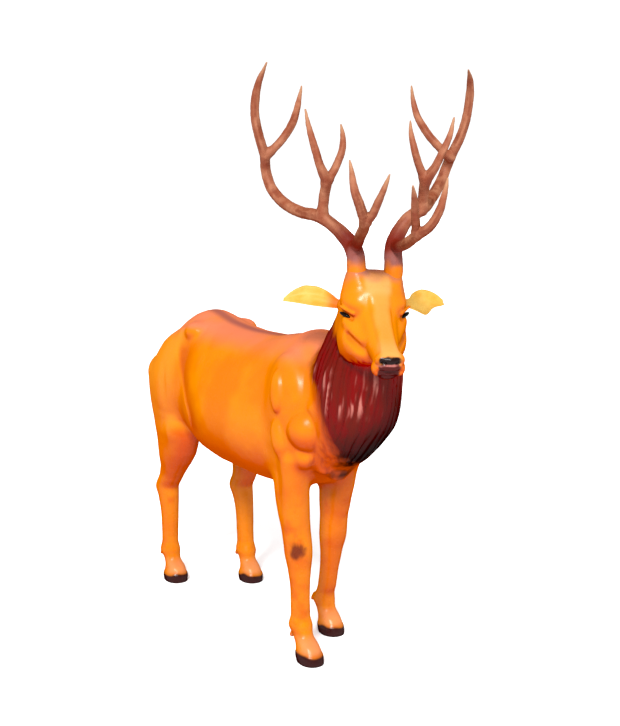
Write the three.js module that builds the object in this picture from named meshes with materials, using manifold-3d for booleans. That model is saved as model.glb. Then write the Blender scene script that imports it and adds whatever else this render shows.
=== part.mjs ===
// A standing stag, about life size: a leather-covered body with dark glass eyes, leather ears
// and a pair of six-point antlers. The stag faces -Y, its left side is +X and its soles are at z = 0.
// Each sub-part is one closed solid: body, two antlers, two ears and two eyes.

import * as THREE from "three";
import Module from "manifold-3d";

const wasm = await Module();
wasm.setup();

// Driving sizes, in millimetres. The back over the forelegs is 1000 mm above the soles.
const FIT_GAP = 0.4;
const BODY_RINGS = 35;
const BODY_SIDES = 34;
const HEAD_RINGS = 19;
const HEAD_SIDES = 22;
const LEG_SIDES = 10;
const STUB_SIDES = 8;
const ANTLER_SIDES = 6;
const EAR_RINGS = 10;
const EAR_ROWS = 4;
const EYE_RINGS = 4;
const EYE_SIDES = 8;
const RINGS_PER_ROW = 1.25;
const EGG_SHAPE = 0.16;
const LOCK_DEPTH = 9;
const LOCK_FADE = 60;
const LOCK_WRAP = 0.35;
const LOCK_RISE = 1.6;
const MANE_EDGE = 470;
const MANE_TIP = 600;
const MANE_SLANT = 0.8;

// Trunk sections along the back: [y, top, bottom, half width].
const TRUNK = [
  [-545, 800, 720, 40], [-510, 880, 655, 78], [-440, 960, 575, 120], [-350, 1000, 524, 152],
  [-250, 978, 503, 176], [-110, 958, 498, 196], [30, 956, 502, 200], [160, 965, 510, 190],
  [270, 985, 542, 170], [350, 993, 600, 155], [440, 960, 650, 138], [510, 905, 700, 105],
  [560, 845, 760, 55],
];

// Neck and mane sections by height: [z, front, back, half width].
const NECK = [
  [560, -470, -445, 18], [595, -495, -390, 58], [636, -558, -355, 87], [688, -614, -360, 108],
  [752, -668, -385, 120], [814, -688, -395, 124], [886, -695, -410, 120], [945, -700, -430, 110],
  [1003, -698, -462, 92], [1034, -694, -492, 87], [1074, -690, -512, 80], [1130, -690, -528, 68],
  [1165, -680, -545, 52], [1180, -660, -570, 28],
];

// Foreleg and hind leg thickness by height: [z, half width, half depth].
const FORELEG = [
  [0, 36, 46], [20, 38, 47], [48, 33, 41], [76, 29, 33], [102, 34, 39], [135, 28, 31],
  [200, 28, 31], [270, 33, 35], [335, 42, 43], [390, 42, 46], [450, 45, 55], [520, 47, 64],
  [600, 43, 70], [660, 30, 50],
];
const HIND_LEG = [
  [0, 38, 48], [20, 40, 49], [48, 34, 41], [76, 28, 32], [103, 34, 40], [140, 28, 33],
  [240, 30, 36], [300, 34, 44], [336, 38, 52], [380, 38, 54], [420, 42, 64], [460, 48, 80],
  [500, 53, 94], [560, 56, 106], [620, 40, 80],
];

const TAIL_ROOT = [0, 540, 862];
const TAIL_END = [0, 594, 738];
const TAIL_RADII = [25, 14];

// Where the skin of a hind leg runs on over the ham, [z, x, y] on the left, and the ham itself.
const HAM_PATH = [[680, 116, 452], [740, 108, 470], [800, 100, 478]];
const HAM = { from: [98, 518, 760], to: [116, 438, 485], radii: [70, 38], blend: 50 };

// Muscles that stand out and creases cut between them, given on the left as they lie on the right.
// The left foreleg stands further back, so the muscles of the left shoulder lie further back too.
const LEFT_SHOULDER_BACK = 38;
const TRUNK_MUSCLES = [
  { name: "haunch", centre: [110, 400, 725], radii: [88, 138, 190], aim: [0, -0.22, 1], blend: 40 },
  { name: "shoulder", centre: [112, -372, 765], radii: [56, 88, 170], aim: [0, 0.12, 1], blend: 40 },
];
const SHOULDER_MUSCLES = [
  {
    name: "shoulder blade", centre: [108, -394, 862], radii: [30, 38, 90],
    aim: [0.29, -0.49, -0.82], blend: 14,
  },
  {
    name: "crease under the blade", from: [174, -415, 779], to: [140, -507, 789], radii: [8, 8],
    blend: 12, cuts: true,
  },
  { name: "point of the shoulder", centre: [113, -447, 722], radii: [51, 51, 53], blend: 6 },
  { name: "ball below it", centre: [113, -440, 632], radii: [29, 31, 29], blend: 7 },
  {
    name: "back of the upper arm", centre: [160, -371, 830], radii: [21, 27, 64],
    aim: [0.17, -0.22, -0.96], blend: 10,
  },
  {
    name: "outer forearm", centre: [160, -383, 688], radii: [25, 31, 60],
    aim: [-0.08, -0.16, -0.96], blend: 9,
  },
  { name: "side of the chest", from: [98, -498, 790], to: [56, -462, 600], radii: [24, 16], blend: 22 },
];
const HAUNCH_MUSCLES = [
  { name: "hip bone", centre: [112, 318, 906], radii: [20, 18, 40], aim: [0, 0.25, 1], blend: 20 },
  { name: "loin", centre: [92, 288, 926], radii: [42, 48, 36], blend: 18 },
  {
    name: "upper flank hollow", from: [152, 276, 893], to: [204, 200, 778], radii: [15, 18],
    blend: 30, cuts: true,
  },
  {
    name: "lower flank hollow", from: [204, 200, 778], to: [218, 118, 655], radii: [18, 17],
    blend: 30, cuts: true,
  },
  {
    name: "groove down the thigh", from: [208, 360, 810], to: [210, 352, 676], radii: [14, 14],
    blend: 18, cuts: true,
  },
  { name: "knee of the hind leg", centre: [160, 316, 588], radii: [26, 30, 34], blend: 12 },
  {
    name: "crease below the knee", from: [172, 280, 530], to: [198, 345, 535], radii: [9, 9],
    blend: 12, cuts: true,
  },
];

// The ridge down the front of a forearm, out from the leg's centre line, by side.
const RIDGE_HEIGHTS = [620, 430];
const RIDGE_RADII = [28, 20];
const RIDGE_OUT = { left: 10, right: 27 };
const RIDGE_FORWARDS = { left: 30, right: 45 };
const RIDGE_LOW_FORWARDS = 24;
const RIDGE_BLEND = 24;

// Dewclaws: [out from the leg's centre, back from it, above its height, radius] at each end.
const DEWCLAW_TOP = [13, 30, 8, 10];
const DEWCLAW_POINT = [16, 42, -8, 7];
const DEWCLAW_BLEND = 5;

// Centre lines of the four legs by height: [z, x, y].
const FORELEG_RIGHT = [
  [0, -91, -450], [48, -90, -435], [76, -89, -410], [102, -88, -395], [200, -89, -394],
  [335, -92, -386], [450, -97, -364], [520, -101, -355], [600, -105, -350], [660, -110, -350],
];
const FORELEG_LEFT = [
  [0, 93, -280], [48, 94, -269], [76, 96, -248], [102, 98, -235], [150, 98.5, -253],
  [200, 98, -264], [335, 98, -287], [450, 96, -298], [520, 96, -309], [600, 99, -325],
  [660, 104, -340],
];
const HIND_RIGHT = [
  [0, -115, 448], [48, -115, 452], [76, -115, 474], [103, -115, 490], [240, -115, 489],
  [300, -115, 496], [336, -115, 506], [380, -115, 475], [420, -117, 443], [460, -119, 414],
  [500, -122, 392], [560, -126, 378], [620, -128, 388],
];
const HIND_LEFT = [
  [0, 116, 302], [48, 116, 307], [76, 117, 330], [103, 119, 343], [240, 121, 355],
  [300, 122, 368], [336, 122, 381], [380, 123, 359], [420, 124, 347], [460, 125, 343],
  [500, 127, 348], [560, 130, 362], [620, 130, 385],
];
const LEG_RING_HEIGHTS = [
  0, 16, 30, 45, 60, 76, 90, 104, 122, 160, 225, 290, 330, 365, 400, 440, 480, 520, 560, 605,
  650, 700, 750,
];

// The head turns to the stag's right. Head frame: x to its left, y forwards, z up, from the poll.
const HEAD_TURN = THREE.MathUtils.degToRad(22.8);
const HEAD_ROLL = THREE.MathUtils.degToRad(-1.1);
const POLL = new THREE.Vector3(-8, -624, 1200.5);

// Skull sections by height in the head frame: [z, front, back, half width].
const SKULL = [
  [-256, 110, 30, 44], [-243, 160, 0, 64], [-215, 170, -25, 80], [-173, 152, -48, 88],
  [-130, 136, -55, 87], [-95, 129, -60, 78], [-60, 127, -62, 66], [-35, 113, -55, 58],
  [-18, 98, -40, 54], [-7, 84, -10, 44], [-1, 65, 20, 24],
];

// The face frame starts at the brow: z runs down the face and y stands out from it.
const BROW_POINT = [0, 60, 10];
const FACE_SLOPE = THREE.MathUtils.degToRad(-46);
const FACE_SWAY = 0.022;

// Muzzle and bridge of the nose along the face: [z, outer face, inner face, half width].
const MUZZLE = [
  [80, 2, -90, 48], [130, -12, -120, 54], [170, -15, -125, 51], [215, -12, -108, 44],
  [255, -6, -88, 38], [290, 0, -72, 36], [308, 0, -62, 36], [322, -8, -52, 32],
  [332, -20, -42, 20],
];
const BRIDGE = [
  [60, 4, -40, 30], [100, 2, -40, 29], [130, -6, -45, 28], [170, -8, -45, 26],
  [215, -4, -40, 24], [255, 2, -35, 23], [292, 8, -30, 25], [302, 6, -26, 24],
];

// Muscles, bones and creases of the left side of the skull, in the head frame.
const SKULL_FEATURES = [
  { name: "brow", centre: [47, 92, -86], radii: [37, 36, 30], aim: [0, 0.3, 1], blend: 24 },
  { name: "cheek", centre: [58, 50, -196], radii: [36, 70, 58], blend: 14 },
  { name: "cheek bone", from: [72, 84, -138], to: [42, 150, -180], radii: [16, 12], blend: 18 },
  { name: "ear root", from: [58, -10, -92], to: [76, -10, -102], radii: [22, 13], blend: 14 },
  {
    name: "crease under the cheek bone", from: [80, 108, -174], to: [53, 166, -208], radii: [6, 6],
    blend: 14, cuts: true,
  },
];

// Soft parts of the left side of the muzzle and of its middle, in the face frame.
const MUZZLE_FEATURES = [
  { name: "nostril wing", centre: [22, -12, 304], radii: [18, 18, 18], blend: 8 },
  { name: "side of the lip", centre: [30, -40, 310], radii: [15, 20, 22], blend: 8 },
];
const MUZZLE_MIDDLE = [
  { name: "chin", centre: [0, -56, 308], radii: [30, 24, 24], blend: 10 },
  { name: "nose pad", centre: [0, -8, 312], radii: [23, 15, 13], blend: 6 },
];

// The bony foot that an antler stands on, in the head frame: its two ends for the left side.
const PEDICLE_LOW = [44, 66, -60];
const PEDICLE_TOP = [50, 69, -14];
const PEDICLE_RADII = [33, 23.5];
const PEDICLE_BLEND = 18;

// Antler branches in the head frame for a left antler: [x, y, z, radius, unevenness]. The
// unevenness lifts the left antler and lowers the right one, as the pair isn't quite alike.
const ANTLER_LEAN = THREE.MathUtils.degToRad(2.8);
const ANTLER_ROOT = [51.6, 67.3, 16.5];
const BEAM = [
  [50, 70, -14, 24, 0], [52, 68, 7, 23.5, 0], [53, 52, 47, 21.5, 2], [64, 28, 79, 19.5, 4],
  [99, 15, 125, 17.5, 11], [141, 6, 154, 17, 10], [183, -79, 170, 16.5, 12],
  [225, -164, 199, 16, 10], [254, -207, 238, 15.5, 6], [268, -214, 280, 14.5, -1],
  [275, -190, 318, 14, -3], [292, -176, 366, 13.5, -4], [305, -167, 421, 13, -2],
  [307, -154, 474, 12, 1], [300, -132, 518, 9.5, -2], [282, -94, 559, 2.5, -11],
];
const BROW_TINE = [
  [57, 50, 62, 15, 2], [55, 80, 68, 15, -1], [60, 155, 87, 14.5, -6], [68, 248, 120, 14, -6],
  [91, 293, 157, 12.5, -13], [108, 312, 195, 10.5, -10], [117, 321, 238, 7, -8],
  [123, 320, 273, 2.5, -7],
];
const BROW_BRANCH = [
  [68, 246, 119, 12, -5], [56, 277, 148, 11.5, 3], [46, 303, 183, 10, 6], [36, 330, 217, 7, 4],
  [27, 349, 246, 2.5, 0],
];
const MIDDLE_TINE = [
  [139, 7, 152, 15, 9], [137, 27, 203, 14.5, 4], [136, 54, 242, 14.5, 3], [156, 71, 282, 11.5, 2],
  [174, 81, 330, 10, -1], [189, 83, 373, 7.5, -4], [199, 79, 421, 2.5, -6],
];
const MIDDLE_BRANCH = [
  [136, 50, 238, 13, 3], [113, 61, 280, 11, 4], [96, 69, 326, 9.5, 3], [91, 48, 364, 7, 2],
  [92, 24, 399, 2.5, 4],
];
const TOP_BRANCH = [
  [270, -190, 309, 12, -11], [229, -177, 347, 12, -16], [197, -196, 389, 11.5, -19],
  [176, -236, 436, 10, -19], [166, -256, 477, 7, -15], [159, -256, 516, 2.5, -13],
];

// Ears, eyes and the cut of the mouth.
const EAR_ROOT = [68, -12, -100];
const EAR_TIP = [232, -72, -96];
const EAR_FACING = [0.2, 0.83, 0.5];
const EAR_THICKNESS = 7;
const EAR_CUP = 0.4;

// Upper and lower edge of each ear, above the line from root to tip: [share of length, up, down].
const EAR_EDGES = {
  left: [
    [0, 10, -10], [0.2, 10, -11], [0.34, 12, -22], [0.42, 25, -31], [0.55, 34, -45],
    [0.63, 36, -39], [0.72, 34, -27], [0.82, 28, -21], [0.92, 17, -19], [1, 3, -15],
  ],
  right: [
    [0, 9, -13], [0.1, 12, -17], [0.2, 24, -17], [0.35, 39, -16.5], [0.5, 47, -15],
    [0.65, 48, -12], [0.8, 38, -8.5], [0.92, 22, -6], [1, 6, -4],
  ],
};
const EYE_CENTRE = [83, 88, -120];
const EYE_RADII = [19, 9, 6];
const EYE_LINE = [24, -21, 11];
const EYE_DOME = 58;
const MOUTH_CENTRE = [0, -31, 331];
const MOUTH_RADII = [33, 5, 7];
const ANTLER_TIP_REACH = 3;

const LEATHER = { color: 0xf08a18, roughness: 0.38, metalness: 0 };
const ANTLER = { color: 0x8a5238, roughness: 0.6, metalness: 0 };
const EAR_LEATHER = { color: 0xf3bd52, roughness: 0.5, metalness: 0 };
const EYE_GLASS = { color: 0x0c0806, roughness: 0.15, metalness: 0 };

const FAR = 1000;
const SIDES = [-1, 1];

// Frames: an origin and three axes.
function makeFrame(origin, x, y, z) {
  return { origin, x, y, z };
}

const AXIS_X = new THREE.Vector3(1, 0, 0);
const AXIS_Y = new THREE.Vector3(0, 1, 0);
const AXIS_Z = new THREE.Vector3(0, 0, 1);
const STAG = makeFrame(new THREE.Vector3(), AXIS_X, AXIS_Y, AXIS_Z);
const ALONG_BACK = makeFrame(new THREE.Vector3(), AXIS_X, AXIS_Z, AXIS_Y);

function turned(frame, [a, b, c]) {
  return new THREE.Vector3()
    .addScaledVector(frame.x, a)
    .addScaledVector(frame.y, b)
    .addScaledVector(frame.z, c);
}

function placed(frame, point) {
  return turned(frame, point).add(frame.origin);
}

function mirrored(side, [a, b, c]) {
  return [side * a, b, c];
}

function headFrame() {
  const forwards = new THREE.Vector3(-Math.sin(HEAD_TURN), -Math.cos(HEAD_TURN), 0);
  const left = new THREE.Vector3(Math.cos(HEAD_TURN), -Math.sin(HEAD_TURN), 0);
  const rolledLeft = left.clone().multiplyScalar(Math.cos(HEAD_ROLL));
  rolledLeft.addScaledVector(AXIS_Z, Math.sin(HEAD_ROLL));
  const up = AXIS_Z.clone().multiplyScalar(Math.cos(HEAD_ROLL));
  up.addScaledVector(left, -Math.sin(HEAD_ROLL));
  return makeFrame(POLL, rolledLeft, forwards, up);
}

function faceFrame(head) {
  const forwards = head.y.clone().addScaledVector(head.x, FACE_SWAY).normalize();
  const left = new THREE.Vector3().crossVectors(head.z, forwards);
  const down = forwards.clone().multiplyScalar(Math.cos(FACE_SLOPE));
  down.addScaledVector(head.z, Math.sin(FACE_SLOPE));
  const out = forwards.clone().multiplyScalar(-Math.sin(FACE_SLOPE));
  out.addScaledVector(head.z, Math.cos(FACE_SLOPE));
  return makeFrame(placed(head, BROW_POINT), left, out, down);
}

const HEAD = headFrame();
const FACE = faceFrame(HEAD);

// A smooth curve through table rows that never overshoots between two rows.
function smoothCurve(rows, column) {
  const at = rows.map((row) => row[0]);
  const value = rows.map((row) => row[column]);
  const last = rows.length - 1;
  const rise = [];
  for (let i = 0; i < last; i += 1) {
    rise.push((value[i + 1] - value[i]) / (at[i + 1] - at[i]));
  }
  const slope = value.map((_, i) => {
    if (i === 0) return rise[0];
    if (i === last) return rise[last - 1];
    const product = rise[i - 1] * rise[i];
    return product > 0 ? (2 * product) / (rise[i - 1] + rise[i]) : 0;
  });
  return (where) => {
    const x = Math.min(Math.max(where, at[0]), at[last]);
    let i = 0;
    while (i < last - 1 && x > at[i + 1]) i += 1;
    const step = at[i + 1] - at[i];
    const t = (x - at[i]) / step;
    const rest = 1 - t;
    return (1 + 2 * t) * rest * rest * value[i] + t * rest * rest * step * slope[i]
      + t * t * (3 - 2 * t) * value[i + 1] - t * t * rest * step * slope[i + 1];
  };
}

function smoothMin(a, b, blend) {
  const overlap = Math.max(blend - Math.abs(a - b), 0) / blend;
  return Math.min(a, b) - (overlap * overlap * blend) / 4;
}

// Shapes give the distance from their surface (negative inside) and the box round them.
function boxRound(points, margin) {
  return new THREE.Box3().setFromPoints(points).expandByScalar(margin);
}

// A limb with oval sections across its frame's z axis: rows are [z, x, y, half width, half depth].
function limb(frame, rows, roundness, egg = 0) {
  const start = rows[0][0];
  const end = rows[rows.length - 1][0];
  const [atX, atY, halfX, halfY] = [1, 2, 3, 4].map((column) => smoothCurve(rows, column));
  const corners = [];
  for (const [z, x, y, halfWidth, halfDepth] of rows) {
    for (const a of SIDES) {
      for (const b of SIDES) {
        corners.push(placed(frame, [x + a * halfWidth, y + b * halfDepth, z]));
      }
    }
  }
  const local = new THREE.Vector3();
  const distance = (point) => {
    local.subVectors(point, frame.origin);
    const z = local.dot(frame.z);
    const x = local.dot(frame.x) - atX(z);
    const y = local.dot(frame.y) - atY(z);
    const ry = halfY(z);
    const rx = halfX(z) * (1 - egg * Math.min(Math.max(y / ry, -1), 1));
    const ratio = (Math.abs(x / rx) ** roundness + Math.abs(y / ry) ** roundness)
      ** (1 / roundness) + 1e-5;
    const radius = Math.hypot(x, y) + 1e-4;
    const across = Math.max(radius * (1 - 1 / ratio), -Math.min(rx, ry));
    const beyond = Math.max(start - z, z - end);
    return beyond > 0 ? Math.hypot(Math.max(across, 0), beyond) : across;
  };
  return { distance, box: boxRound(corners, 24) };
}

function sectioned(rows) {
  return rows.map(([z, one, other, half]) => [z, 0, (one + other) / 2, half, Math.abs(one - other) / 2]);
}

// An ellipsoid with its third radius along aim.
function muscle(frame, centre, radii, aim = [0, 0, 1]) {
  const middle = placed(frame, centre);
  const third = turned(frame, aim).normalize();
  const first = frame.x.clone().addScaledVector(third, -frame.x.dot(third)).normalize();
  const second = new THREE.Vector3().crossVectors(third, first);
  const axes = [first, second, third];
  const extent = ["x", "y", "z"].map((name) => {
    return Math.hypot(...axes.map((axis, i) => axis[name] * radii[i]));
  });
  const half = new THREE.Vector3(...extent);
  const local = new THREE.Vector3();
  const distance = (point) => {
    local.subVectors(point, middle);
    const parts = axes.map((axis, i) => local.dot(axis) / radii[i]);
    const near = Math.hypot(...parts);
    const slope = Math.hypot(...parts.map((part, i) => part / radii[i])) + 1e-9;
    return (near * (near - 1)) / slope;
  };
  return { distance, box: boxRound([middle.clone().sub(half), middle.clone().add(half)], 4) };
}

// A rounded rod whose radius changes from one end to the other.
function rod(frame, from, to, [radiusFrom, radiusTo]) {
  const start = placed(frame, from);
  const along = placed(frame, to).sub(start);
  const length2 = along.lengthSq();
  const local = new THREE.Vector3();
  const distance = (point) => {
    local.subVectors(point, start);
    const t = Math.min(Math.max(local.dot(along) / length2, 0), 1);
    return local.addScaledVector(along, -t).length() - radiusFrom - (radiusTo - radiusFrom) * t;
  };
  const ends = [start, start.clone().add(along)];
  return { distance, box: boxRound(ends, Math.max(radiusFrom, radiusTo) + 4) };
}

// A form is a soft union of shapes and soft cuts, sorted into named regions.
class Form {
  constructor() {
    this.steps = [];
  }

  add(region, shape, blend = 0.01) {
    const box = shape.box.clone().expandByScalar(blend);
    this.steps.push({ region, distance: shape.distance, box, blend, cuts: false });
  }

  cut(shape, blend = 0.01) {
    const box = shape.box.clone().expandByScalar(blend);
    this.steps.push({ region: null, distance: shape.distance, box, blend, cuts: true });
  }

  distance(point) {
    let result = FAR;
    for (const step of this.steps) {
      if (step.box.containsPoint(point)) {
        const here = step.distance(point);
        result = step.cuts
          ? -smoothMin(-result, here, step.blend)
          : smoothMin(result, here, step.blend);
      }
    }
    return result;
  }

  regionDistance(region, point) {
    let result = FAR;
    for (const step of this.steps) {
      if (step.region === region) result = Math.min(result, step.distance(point));
    }
    return result;
  }
}

// The modelled forms of the stag.
function legRows(thickness, path) {
  const heights = [...new Set([...thickness, ...path].map((row) => row[0]))].sort((a, b) => a - b);
  const halfWidth = smoothCurve(thickness, 1);
  const halfDepth = smoothCurve(thickness, 2);
  const x = smoothCurve(path, 1);
  const y = smoothCurve(path, 2);
  return heights.map((z) => [z, x(z), y(z), halfWidth(z), halfDepth(z)]);
}

const LEGS = [
  { name: "fore", side: -1, thickness: FORELEG, path: FORELEG_RIGHT, dewclaw: 74 },
  { name: "fore", side: 1, thickness: FORELEG, path: FORELEG_LEFT, dewclaw: 100 },
  { name: "hind", side: -1, thickness: HIND_LEG, path: HIND_RIGHT, dewclaw: 92 },
  { name: "hind", side: 1, thickness: HIND_LEG, path: HIND_LEFT, dewclaw: 92 },
];
function onPath(path, z) {
  return [smoothCurve(path, 1)(z), smoothCurve(path, 2)(z)];
}

// Adds a list of muscles, bones and creases, turned over for the right side.
function addFeatures(form, region, frame, side, features, back = 0) {
  const at = ([x, y, z]) => [side * x, y + back, z];
  for (const { centre, aim = [0, 0, 1], from, to, radii, blend, cuts } of features) {
    const shape = centre
      ? muscle(frame, at(centre), radii, mirrored(side, aim))
      : rod(frame, at(from), at(to), radii);
    if (cuts) form.cut(shape, blend);
    else form.add(region, shape, blend);
  }
}

function addTrunk(form) {
  form.add("trunk", limb(ALONG_BACK, sectioned(TRUNK), 2.15, EGG_SHAPE));
  form.add("trunk", limb(STAG, sectioned(NECK), 2.1), 50);
  for (const leg of LEGS) {
    form.add(leg, limb(STAG, legRows(leg.thickness, leg.path), 2.2), 45);
  }
  for (const leg of LEGS.filter(({ name }) => name === "hind")) {
    addFeatures(form, leg, STAG, leg.side, [HAM]);
  }
  for (const side of SIDES) addFeatures(form, "trunk", STAG, side, TRUNK_MUSCLES);
  form.add("tail", rod(STAG, TAIL_ROOT, TAIL_END, TAIL_RADII), 18);
}

function addForearm(form, leg) {
  const label = sideName(leg.side);
  const out = leg.side * RIDGE_OUT[label];
  const [topZ, lowZ] = RIDGE_HEIGHTS;
  const [topX, topY] = onPath(leg.path, topZ);
  const [lowX, lowY] = onPath(leg.path, lowZ);
  const top = [topX + out, topY - RIDGE_FORWARDS[label], topZ];
  const low = [lowX + out / 2, lowY - RIDGE_LOW_FORWARDS, lowZ];
  form.add(leg, rod(STAG, top, low, RIDGE_RADII), RIDGE_BLEND);
}

function addDewclaws(form, leg) {
  const [x, y] = onPath(leg.path, leg.dewclaw);
  for (const side of SIDES) {
    const [top, point] = [DEWCLAW_TOP, DEWCLAW_POINT].map(([out, back, above]) => {
      return [x + side * out, y + back, leg.dewclaw + above];
    });
    form.add(leg, rod(STAG, top, point, [DEWCLAW_TOP[3], DEWCLAW_POINT[3]]), DEWCLAW_BLEND);
  }
}

function sideName(side) {
  return side > 0 ? "left" : "right";
}

function pedicleName(side) {
  return `${sideName(side)} pedicle`;
}

function addHead(form) {
  form.add("head", limb(HEAD, sectioned(SKULL), 2.4), 30);
  form.add("head", limb(FACE, sectioned(MUZZLE), 2.3), 16);
  form.add("head", limb(FACE, sectioned(BRIDGE), 4), 6);
  for (const side of SIDES) {
    const ends = [PEDICLE_LOW, PEDICLE_TOP].map((point) => mirrored(side, point));
    form.add(pedicleName(side), rod(HEAD, ...ends, PEDICLE_RADII), PEDICLE_BLEND);
    addFeatures(form, "head", HEAD, side, SKULL_FEATURES);
    addFeatures(form, "head", FACE, side, MUZZLE_FEATURES);
  }
  addFeatures(form, "head", FACE, 1, MUZZLE_MIDDLE);
}

function stagForm() {
  const form = new Form();
  addTrunk(form);
  for (const side of SIDES) {
    addFeatures(form, "trunk", STAG, side, SHOULDER_MUSCLES, side > 0 ? LEFT_SHOULDER_BACK : 0);
    addFeatures(form, "trunk", STAG, side, HAUNCH_MUSCLES);
  }
  for (const leg of LEGS) {
    if (leg.name === "fore") addForearm(form, leg);
    addDewclaws(form, leg);
  }
  addHead(form);
  return form;
}

// Skins: rings of rays from a centre line out to the form's surface.
const REACH_PAST_REGION = 40;
const BLEND_SHARE = 4;
const SINK_RATE = 1;
const STEP_SHARE = 0.6;
const SMALLEST_STEP = 1.2;
const HALVINGS = 12;

// The point where a ray leaves the form. It stops early where another region takes over, and
// sinks a little where the surface belongs more to that region, so that skins cross cleanly.
function leavingPoint(form, region, from, direction) {
  const point = from.clone();
  let travelled = 0;
  let inside = 0;
  while (form.distance(point) < 0) {
    if (form.regionDistance(region, point) > REACH_PAST_REGION) return point;
    inside = travelled;
    travelled += Math.max(-STEP_SHARE * form.distance(point), SMALLEST_STEP);
    point.copy(from).addScaledVector(direction, travelled);
  }
  let outside = travelled;
  for (let i = 0; i < HALVINGS; i += 1) {
    const middle = (inside + outside) / 2;
    point.copy(from).addScaledVector(direction, middle);
    if (form.distance(point) < 0) inside = middle;
    else outside = middle;
  }
  const beyond = Math.max(form.regionDistance(region, point) - BLEND_SHARE, 0);
  const length = Math.max(inside - SINK_RATE * beyond, 1);
  return point.copy(from).addScaledVector(direction, length);
}

function ringOfRays(form, region, cut, sides, relief = () => 0, tilt = 0) {
  const ring = [];
  const direction = new THREE.Vector3();
  for (let i = 0; i < sides; i += 1) {
    const angle = (2 * Math.PI * i) / sides;
    direction.copy(cut.across).multiplyScalar(Math.cos(tilt) * Math.cos(angle));
    direction.addScaledVector(cut.upwards, Math.cos(tilt) * Math.sin(angle));
    direction.addScaledVector(cut.along, Math.sin(tilt));
    const point = leavingPoint(form, region, cut.centre, direction);
    ring.push(point.addScaledVector(direction, relief(i, angle, point)));
  }
  return ring;
}

const BODY_DOME = [18, 36, 54, 72];
const STUB_DOME = [30, 60];

// A skin of rings along a spine with a dome at each end, its rings tilted by these degrees.
function domedSkin(form, region, cuts, sides, dome, relief) {
  const tilts = dome.map((degrees) => THREE.MathUtils.degToRad(degrees));
  const first = cuts[0];
  const last = cuts[cuts.length - 1];
  const ringAt = (cut, tilt) => ringOfRays(form, region, cut, sides, relief, tilt);
  const rings = [
    ...tilts.toReversed().map((tilt) => ringAt(first, -tilt)),
    ...cuts.map((cut) => ringAt(cut, 0)),
    ...tilts.map((tilt) => ringAt(last, tilt)),
  ];
  const start = leavingPoint(form, region, first.centre, first.along.clone().negate());
  const end = leavingPoint(form, region, last.centre, last.along);
  return solidFromRings(rings, start, end);
}

// Closes a stack of rings with a point at each end.
function solidFromRings(rings, firstPole, lastPole) {
  const sides = rings[0].length;
  const points = [firstPole, ...rings.flat(), lastPole];
  const lastIndex = points.length - 1;
  const faces = [];
  for (let i = 0; i < sides; i += 1) {
    const next = (i + 1) % sides;
    faces.push([0, 1 + next, 1 + i]);
    for (let r = 0; r < rings.length - 1; r += 1) {
      const low = 1 + r * sides;
      const high = low + sides;
      faces.push([low + i, low + next, high + next], [low + i, high + next, high + i]);
    }
    const low = 1 + (rings.length - 1) * sides;
    faces.push([low + i, low + next, lastIndex]);
  }
  return makeSolid(points, faces);
}

function signedVolume(points, faces) {
  const cross = new THREE.Vector3();
  let total = 0;
  for (const [a, b, c] of faces) {
    total += cross.crossVectors(points[a], points[b]).dot(points[c]);
  }
  return total;
}

function makeSolid(points, faces) {
  const outward = signedVolume(points, faces) > 0;
  const triVerts = new Uint32Array(faces.flatMap(([a, b, c]) => (outward ? [a, b, c] : [a, c, b])));
  const vertProperties = new Float32Array(points.flatMap((point) => [point.x, point.y, point.z]));
  return new wasm.Manifold(new wasm.Mesh({ numProp: 3, vertProperties, triVerts }));
}

function spread(from, to, count) {
  return Array.from({ length: count }, (_, i) => from + ((to - from) * i) / (count - 1));
}

function roundAngles(sides) {
  return spread(0, 2 * Math.PI, sides + 1).slice(0, sides);
}

// The trunk and neck share one skin along a bent spine. Each row is one cut across the animal,
// seen from the side: [order, y of its back end, z of its back end, y and z of its belly end].
const SPINE_CUTS = [
  [0, 470, 940, 470, 672], [6, 290, 984, 290, 560], [12, 30, 956, 30, 502],
  [18, -230, 974, -230, 503], [20, -315, 990, -325, 515], [22, -375, 1000, -400, 535],
  [24, -418, 1002, -452, 566], [27, -455, 1008, -535, 626], [30, -482, 1022, -622, 700],
  [33, -500, 1045, -676, 790], [36, -512, 1070, -694, 880], [39, -520, 1094, -698, 960],
  [42, -528, 1118, -697, 1035], [45, -538, 1138, -692, 1100],
];

function bodySkin(form) {
  const [backY, backZ, bellyY, bellyZ] = [1, 2, 3, 4].map((column) => smoothCurve(SPINE_CUTS, column));
  const order = spread(0, SPINE_CUTS[SPINE_CUTS.length - 1][0], BODY_RINGS);
  const cuts = order.map((at) => {
    const back = new THREE.Vector3(0, backY(at), backZ(at));
    const belly = new THREE.Vector3(0, bellyY(at), bellyZ(at));
    const upwards = back.clone().sub(belly).normalize();
    const along = new THREE.Vector3().crossVectors(AXIS_X, upwards);
    return { centre: back.add(belly).multiplyScalar(0.5), across: AXIS_X, upwards, along };
  });
  return domedSkin(form, "trunk", cuts, BODY_SIDES, BODY_DOME, maneLock);
}

// The mane's locks: every other ray stands proud on the throat and chest, fading out at the
// nape and where the mane ends on the chest.
function maneLock(i, angle, point) {
  const facing = Math.max(0, LOCK_WRAP - Math.sin(angle)) / (1 + LOCK_WRAP);
  const proud = i % 2 === 0 ? 1 : -1;
  const fromChest = -point.y - MANE_EDGE - MANE_SLANT * Math.max(0, MANE_TIP - point.z);
  const onMane = Math.min(Math.max(fromChest / LOCK_FADE, 0), 1);
  return proud * (LOCK_DEPTH / 2) * Math.min(facing * LOCK_RISE, 1) * onMane;
}

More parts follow.
